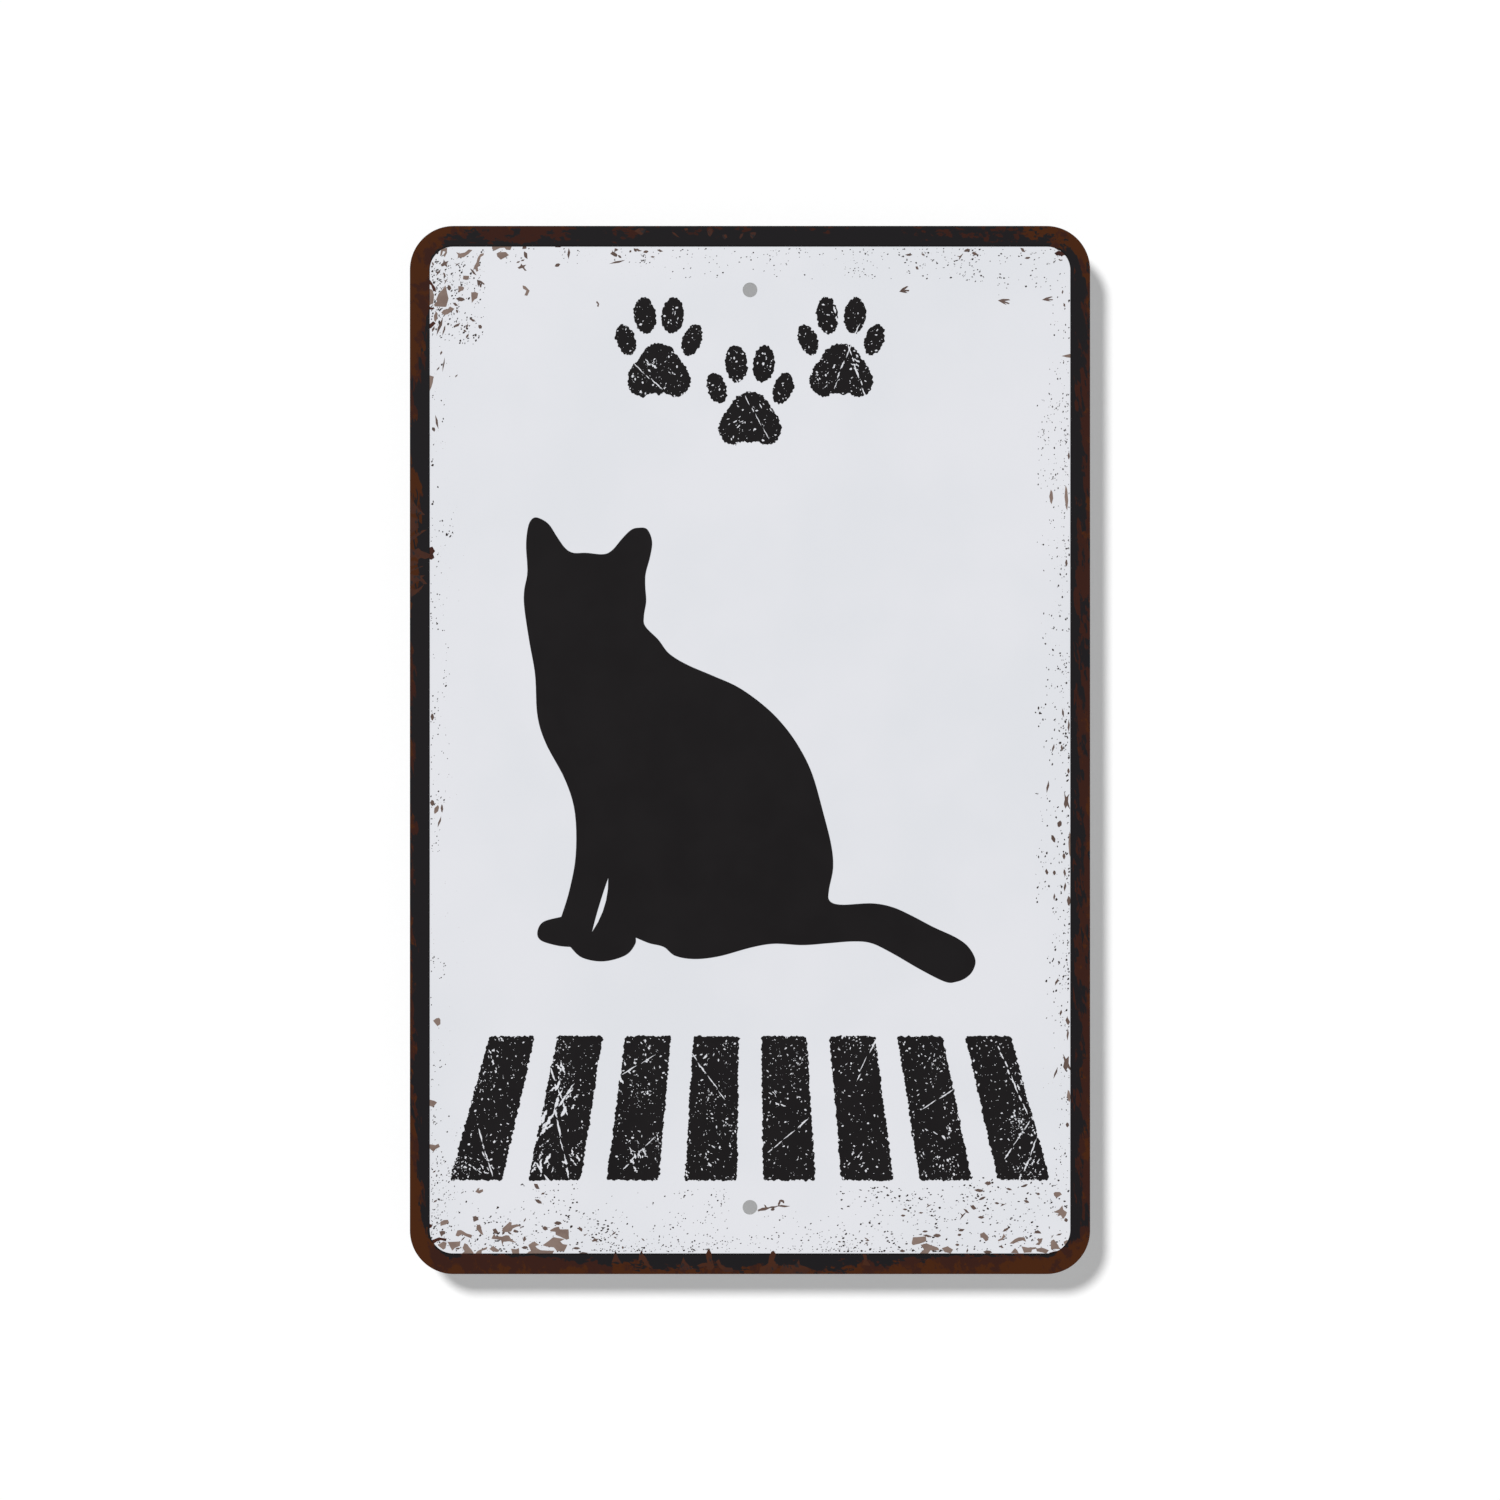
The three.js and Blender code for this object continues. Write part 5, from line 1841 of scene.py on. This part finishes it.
@dataclass
class WornPrint:
    """The paw prints and the crossing bars, re-cut from their nodes with worn ink.

    Lengths are in millimetres, or in metres where MM is a factor, and angles are in degrees. A
    pair is a least and a greatest value, and slimness is width as a share of length.

    Attributes:
        longest_edge: the longest straight run left in a rim.
        grain: size of a rim's teeth.
        raggedness: how far the teeth's noise pushes a rim in and out in all.
        corner: radius of the figures' sharp corners.
        sharp: an angle in a rim above which it is a sharp corner, in radians.
        flat_angle: faces that meet at less than this are one.
        fineness: how rare the larger flecks are, as a power of chance.
        clumped_every: one of so many flecks lies in a clump.
        widest: width of the widest cracks.
        crack_length: shares of the longest crack of its patch.
        slit_width: shares of the width of its scratch.
        slit_stray: how far a slit lies beside its scratch's line at most.
        slit_lean: how far it leans from that line at most.
        slit_step: the way on to the next one, as a share of its length; slit_gap is added.
        straight_slivers: how many of the slivers' patterns are straight enough for slits.
        clearance: least gap between two tools of one pass.
        teeth: the noise that frays the rims.
    """

    cutters: CutterSet
    longest_edge: float = 0.4 * MM
    grain: float = 0.72 * MM
    raggedness: float = 1.12 * MM
    corner: float = 0.7 * MM
    sharp: float = 0.5
    corner_steps: int = 3
    flat_angle: float = 0.5
    density: float = 0.43
    smallest: float = 0.26
    largest: float = 1.0
    fineness: float = 2.6
    slimness: Band = (0.25, 0.75)
    clumps: int = 3
    clumped_every: int = 3
    clump_reach: float = 2.2
    widest: float = 1.0
    crack_length: Band = (0.35, 1.0)
    crack_slimness: Band = (0.16, 0.36)
    crack_lean_spread: float = 16.0
    slit_length: Band = (1.4, 5.5)
    slit_width: Band = (0.6, 1.3)
    slit_stray: float = 0.25
    slit_lean: float = 4.0
    slit_step: float = 1.08
    slit_gap: Band = (0.1, 0.7)
    straight_slivers: int = 3
    clearance: float = 0.05
    seed: int = 31
    finish: BlackInk = BlackInk("worn_black_ink", True)
    flecks: list[bpy.types.Mesh] = field(default_factory=list)
    slivers: list[bpy.types.Mesh] = field(default_factory=list)
    teeth: bpy.types.Texture | None = None

    def build(self) -> list[Thing]:
        """Make every worn figure.

        Returns:
            Its pieces, one for each node that they replace.
        """
        ink = self.finish.mix()
        self.flecks = self.cutters.flecks()
        self.slivers = self.cutters.slivers()
        self.teeth = bpy.data.textures.new("rim_teeth", "CLOUDS")
        self.teeth.noise_scale = self.grain
        self.teeth.noise_depth = 1
        made = []
        names = [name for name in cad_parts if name.startswith(FIGURE_NAMES)]
        for order, name in enumerate(sorted(names)):
            piece = dress(self._figure(name, order), ink, Slot.BLACK_INK)
            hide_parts(name)
            made.append(piece)
        return made

    def _figure(self, node: str, order: int) -> Thing:
        """Cut one figure anew from its node.

        Args:
            node: the node's name.
            order: its place in the row of figures, which seeds its wear.

        Returns:
            The worn figure.
        """
        piece = bpy.data.objects.new(f"worn_{node}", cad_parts[node].data.copy())
        bpy.context.scene.collection.objects.link(piece)
        Bench.pick(piece)
        levels = sorted({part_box(node)[0].y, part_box(node)[1].y})
        bpy.ops.mesh.customdata_custom_splitnormals_clear()
        bpy.ops.object.mode_set(mode="EDIT")
        bpy.ops.mesh.select_all(action="SELECT")
        bpy.ops.mesh.remove_doubles(threshold=SAME_PLACE)
        bpy.ops.mesh.dissolve_limited(angle_limit=math.radians(self.flat_angle))
        Bench.select(piece, lambda face: abs(face.normal.y) > FACING, "faces")
        bpy.ops.mesh.delete(type="ONLY_FACE")
        if Bench.select(piece, self._is_sharp, "edges"):
            bpy.ops.mesh.bevel(offset=self.corner, segments=self.corner_steps, affect="EDGES")
        while Bench.select(piece, self._is_long, "edges"):
            bpy.ops.mesh.subdivide(number_cuts=1)
        bpy.ops.object.mode_set(mode="OBJECT")
        Bench.apply(piece, "DISPLACE", texture=self.teeth, texture_coords="LOCAL",
                    direction="NORMAL", mid_level=HALF, strength=self.raggedness)
        bpy.ops.object.mode_set(mode="EDIT")
        for level in levels:
            Bench.select(piece, lambda corner, at=level: abs(corner.co.y - at) < SAME_PLACE)
            bpy.ops.mesh.edge_face_add()
        Bench.close()
        self._wear(piece, random.Random(self.seed + order))
        return piece

    def _is_sharp(self, edge: bmesh.types.BMEdge) -> bool:
        """Whether an edge is a figure's sharp upright corner."""
        return len(edge.link_faces) > 1 and edge.calc_face_angle() > self.sharp

    def _is_long(self, edge: bmesh.types.BMEdge) -> bool:
        """Whether a rim's edge is still too long."""
        start, end = (corner.co for corner in edge.verts)
        return abs(start.y - end.y) < SAME_PLACE and (start - end).length > self.longest_edge

    def _wear(self, piece: Thing, draw: random.Random) -> None:
        """Knock flecks, cracks and scratches out of a figure.

        Args:
            piece: the figure.
            draw: the source of chance for its flecks.
        """
        across = [corner.co.x / MM for corner in piece.data.vertices]
        up = [corner.co.z / MM for corner in piece.data.vertices]
        reach = (min(across), max(across), min(up), max(up))
        self._knock(piece, self._flecks(reach, draw))
        for patch in CRACK_PATCHES:
            across, up = patch.spot
            ends = ((across - patch.reach, up - patch.reach), (across + patch.reach, up + patch.reach))
            if self._crosses(reach, *ends):
                self._knock(piece, self._cracks(patch))
        for scratch in SCRATCHES:
            if self._crosses(reach, scratch.start, scratch.end):
                self._knock(piece, self._slits(scratch))

    def _crosses(self, reach: tuple[float, ...], start: Point, end: Point) -> bool:
        """Find whether the box between two points may touch a figure.

        Args:
            reach: the figure's left, right, low and high limits, in millimetres.
            start: one point.
            end: the other point.

        Returns:
            Whether it may.
        """
        left, right, low, high = reach
        beside = max(start[0], end[0]) < left or min(start[0], end[0]) > right
        above = max(start[1], end[1]) < low or min(start[1], end[1]) > high
        return not (beside or above)

    def _knock(self, piece: Thing, tools: list[Tool]) -> None:
        """Knock tools out of a figure, the ones that would touch each other one after another.

        Args:
            piece: the figure.
            tools: the tools.
        """
        passes: list[tuple[list[Disc], list[Tool]]] = []
        for tool in tools:
            ground = tool.ground(self.clearance)
            for taken, batch in passes:
                if not self._touch(ground, taken):
                    break
            else:
                taken, batch = [], []
                passes.append((taken, batch))
            taken.extend(ground)
            batch.append(tool)
        for _, batch in passes:
            Bench.knock_out(piece, Bench.join("tools", [tool.lay() for tool in batch]))

    def _touch(self, ground: list[Disc], taken: list[Disc]) -> bool:
        """Whether any disc of one lot touches one of the other."""
        return any(
            math.dist(disc[:2], other[:2]) < disc[2] + other[2] for disc in ground for other in taken
        )

    def _flecks(self, reach: tuple[float, ...], draw: random.Random) -> list[Tool]:
        """Scatter flecks over a figure, some of them in clumps.

        Args:
            reach: the figure's left, right, low and high limits, in millimetres.
            draw: the source of chance.

        Returns:
            Their tools.
        """
        left, right, low, high = reach
        count = round(self.density * (right - left) * (high - low))
        clumps = [(draw.uniform(left, right), draw.uniform(low, high)) for _ in range(self.clumps)]
        tools = []
        for index in range(count):
            length = self.smallest + (self.largest - self.smallest) * draw.random() ** self.fineness
            size = (length, length * draw.uniform(*self.slimness))
            spot = (draw.uniform(left, right), draw.uniform(low, high))
            if index % self.clumped_every == 0:
                spot = tuple(place + draw.gauss(0, self.clump_reach) for place in draw.choice(clumps))
            tools.append(Tool(draw.choice(self.flecks), spot, draw.uniform(0, 180), size))
        return tools

    def _cracks(self, patch: CrackPatch) -> list[Tool]:
        """Scatter the cracks of a patch, seeded by its own fields and so alike for every figure.

        Args:
            patch: the patch.

        Returns:
            Their tools.
        """
        draw = random.Random(str(patch))
        tools = []
        for _ in range(patch.count):
            length = patch.longest * draw.uniform(*self.crack_length)
            size = (length, min(self.widest, length * draw.uniform(*self.crack_slimness)))
            spot = tuple(middle + draw.gauss(0, patch.reach / 2) for middle in patch.spot)
            turn = patch.lean + draw.gauss(0, self.crack_lean_spread)
            tools.append(Tool(draw.choice(self.slivers), spot, turn, size))
        return tools

    def _slits(self, scratch: Scratch) -> list[Tool]:
        """Lay slivers along a scratch, seeded by its own fields and so alike for every figure.

        Args:
            scratch: the scratch.

        Returns:
            Their tools.
        """
        draw = random.Random(str(scratch))
        start, end = Vector(scratch.start), Vector(scratch.end)
        way = (end - start).normalized()
        turn = math.degrees(math.atan2(way.y, way.x))
        beside = Vector((-way.y, way.x))
        gone, tools = 0.0, []
        while gone < (end - start).length:
            length = draw.uniform(*self.slit_length)
            stray = draw.uniform(-self.slit_stray, self.slit_stray)
            middle = start + way * (gone + length / 2) + beside * stray
            size = (length, scratch.width * draw.uniform(*self.slit_width))
            lean = turn + draw.uniform(-self.slit_lean, self.slit_lean)
            pattern = draw.choice(self.slivers[:self.straight_slivers])
            tools.append(Tool(pattern, tuple(middle), lean, size))
            gone += length * self.slit_step + draw.uniform(*self.slit_gap)
        return tools


@dataclass
class PrintedSheet:
    """The plate, its coat, its border and its cat, which keep the frame's shapes."""

    metal: MillAluminium = MillAluminium()
    coat: SatinPaint = SatinPaint()
    border: RustedInk = RustedInk()
    cat: BlackInk = BlackInk("cat_black_ink", False)

    def dress(self) -> None:
        """Give each node its finish."""
        for node, finish in (
            ("aluminium_sheet", self.metal),
            ("white_base_coat", self.coat),
            ("border_ink", self.border),
            ("cat_silhouette_ink", self.cat),
        ):
            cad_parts[node].material_slots[0].material = finish.mix()
            LOG.info("%s dressed", node)


@dataclass
class Studio:
    """White wall, soft sun from the upper left, pale surroundings and the camera.

    Lengths are in metres, the camera's lens and sensor in millimetres.

    Attributes:
        wall_gap: from the sheet's back to the wall.
        wall_shade: how much of the light the wall gives back.
        wall_mottle: how far its paint's grey strays either way.
        wall_glow: light of its own, which makes the lit wall white.
        shadow_shift: how far the shadow falls across and up for one wall gap.
        sun_width: width of the sun, in degrees, which softens the shadow's edge.
        first_bounce: a ray with fewer diffuse bounces than this has made none.
        rear_way: which way the light of the lamp behind runs, for views of the back.
        view_width: width of the picture at the sign's face.
    """

    wall_gap: float = 12 * MM
    wall_size: float = 1.6
    wall_shade: float = 0.88
    wall_mottle: float = 0.004
    wall_roughness: float = 0.9
    wall_glow: float = 0.15
    shadow_shift: Point = (5.6 * MM, -6.7 * MM)
    sun_width: float = 12.0
    sun_strength: float = 2.67
    sky_strength: float = 0.3
    first_bounce: float = 0.5
    rear_way: tuple[float, float, float] = (0.35, -1.0, -0.5)
    rear_strength: float = 0.8
    lens: float = 100.0
    sensor: float = 36.0
    view_width: float = 436.2 * MM

    def build(self) -> None:
        """Set up the wall, the lights and the camera."""
        self._camera()
        self._wall()
        self._sky()
        across, up = self.shadow_shift
        self._sun("key_sun", Vector((across, self.wall_gap, up)), self.sun_strength)
        self._sun("rear_sun", Vector(self.rear_way), self.rear_strength)
        bpy.context.scene.view_settings.view_transform = "Standard"

    def _camera(self) -> None:
        """Look straight at the sign's middle."""
        distance = self.view_width * self.lens / self.sensor
        place = (0, Films.ink - distance, 0)
        bpy.ops.object.camera_add(location=place, rotation=(QUARTER_TURN, 0, 0))
        camera = bpy.context.view_layer.objects.active
        camera.data.lens = self.lens
        camera.data.sensor_width = self.sensor
        bpy.context.scene.camera = camera

    def _wall(self) -> None:
        """A white wall that only the camera sees, and only from its front."""
        bpy.ops.object.select_all(action="DESELECT")
        bpy.ops.mesh.primitive_plane_add(
            size=self.wall_size, location=(0, self.wall_gap, 0), rotation=(QUARTER_TURN, 0, 0)
        )
        wall = bpy.context.view_layer.objects.active
        wall.name = "white_wall"
        Bench.settle(wall)
        bench = NodeBench("wall_paint")
        grain = bench.noise(bench.place, scale=30.0)
        shade = self.wall_shade
        mottle = self.wall_mottle
        bench.colour(bench.blend(grain, grey(shade - mottle), grey(shade + mottle)))
        bench.gloss(self.wall_roughness, specular=0.0)
        glow = bench.add("ShaderNodeEmission", {"Strength": self.wall_glow})
        both = bench.add("ShaderNodeAddShader", {0: bench.shader.outputs[0], 1: glow.outputs[0]})
        seen = bench.add("ShaderNodeLightPath").outputs["Is Camera Ray"]
        behind = bench.add("ShaderNodeNewGeometry").outputs["Backfacing"]
        absent = bench.calc("MAXIMUM", behind, bench.calc("SUBTRACT", 1.0, seen))
        clear = bench.add("ShaderNodeBsdfTransparent")
        mixed = bench.add("ShaderNodeMixShader", {0: absent, 1: both.outputs[0], 2: clear.outputs[0]})
        bench.feed(bench.nodes["Material Output"].inputs["Surface"], mixed.outputs[0])
        wall.data.materials.append(bench.material)

    def _sky(self) -> None:
        """Even light from all round, seen as white."""
        world = bpy.data.worlds.new("pale_surroundings")
        bpy.context.scene.world = world
        table = NodeTable(world)
        rays = table.add("ShaderNodeLightPath").outputs
        white = rays["Is Camera Ray"]
        for kind in ("Is Glossy Ray", "Is Transmission Ray"):
            feeds = {0: white, 1: rays[kind]}
            white = table.add("ShaderNodeMath", feeds, operation="ADD", use_clamp=True).outputs[0]
        unbounced = table.calc("LESS_THAN", rays["Diffuse Depth"], self.first_bounce)
        direct = table.calc("MULTIPLY", white, unbounced)
        level = table.add("ShaderNodeMapRange", {"Value": direct, "To Min": self.sky_strength})
        background = table.nodes["Background"].inputs
        table.feed(background["Strength"], level.outputs[0])
        table.feed(background["Color"], grey(1.0))

    def _sun(self, name: str, way: Vector, strength: float) -> None:
        """Hang a soft sun.

        Args:
            name: its name.
            way: which way its light runs.
            strength: how strong it is.
        """
        bpy.ops.object.light_add(type="SUN", rotation=way.to_track_quat("-Z", "Y").to_euler())
        sun = bpy.context.view_layer.objects.active
        sun.name = name
        sun.data.energy = strength
        sun.data.angle = math.radians(self.sun_width)


def main() -> None:
    """Build the sign's sub-assemblies in order and log how many new pieces there are."""
    logging.basicConfig(level=logging.INFO, format="%(name)s: %(message)s")
    PrintedSheet().dress()
    cutters = CutterSet()
    made = WornPrint(cutters).build() + PanelWear(cutters).build()
    Studio().build()
    LOG.info("%d new pieces", len(made))


if __name__ == "__main__":
    main()
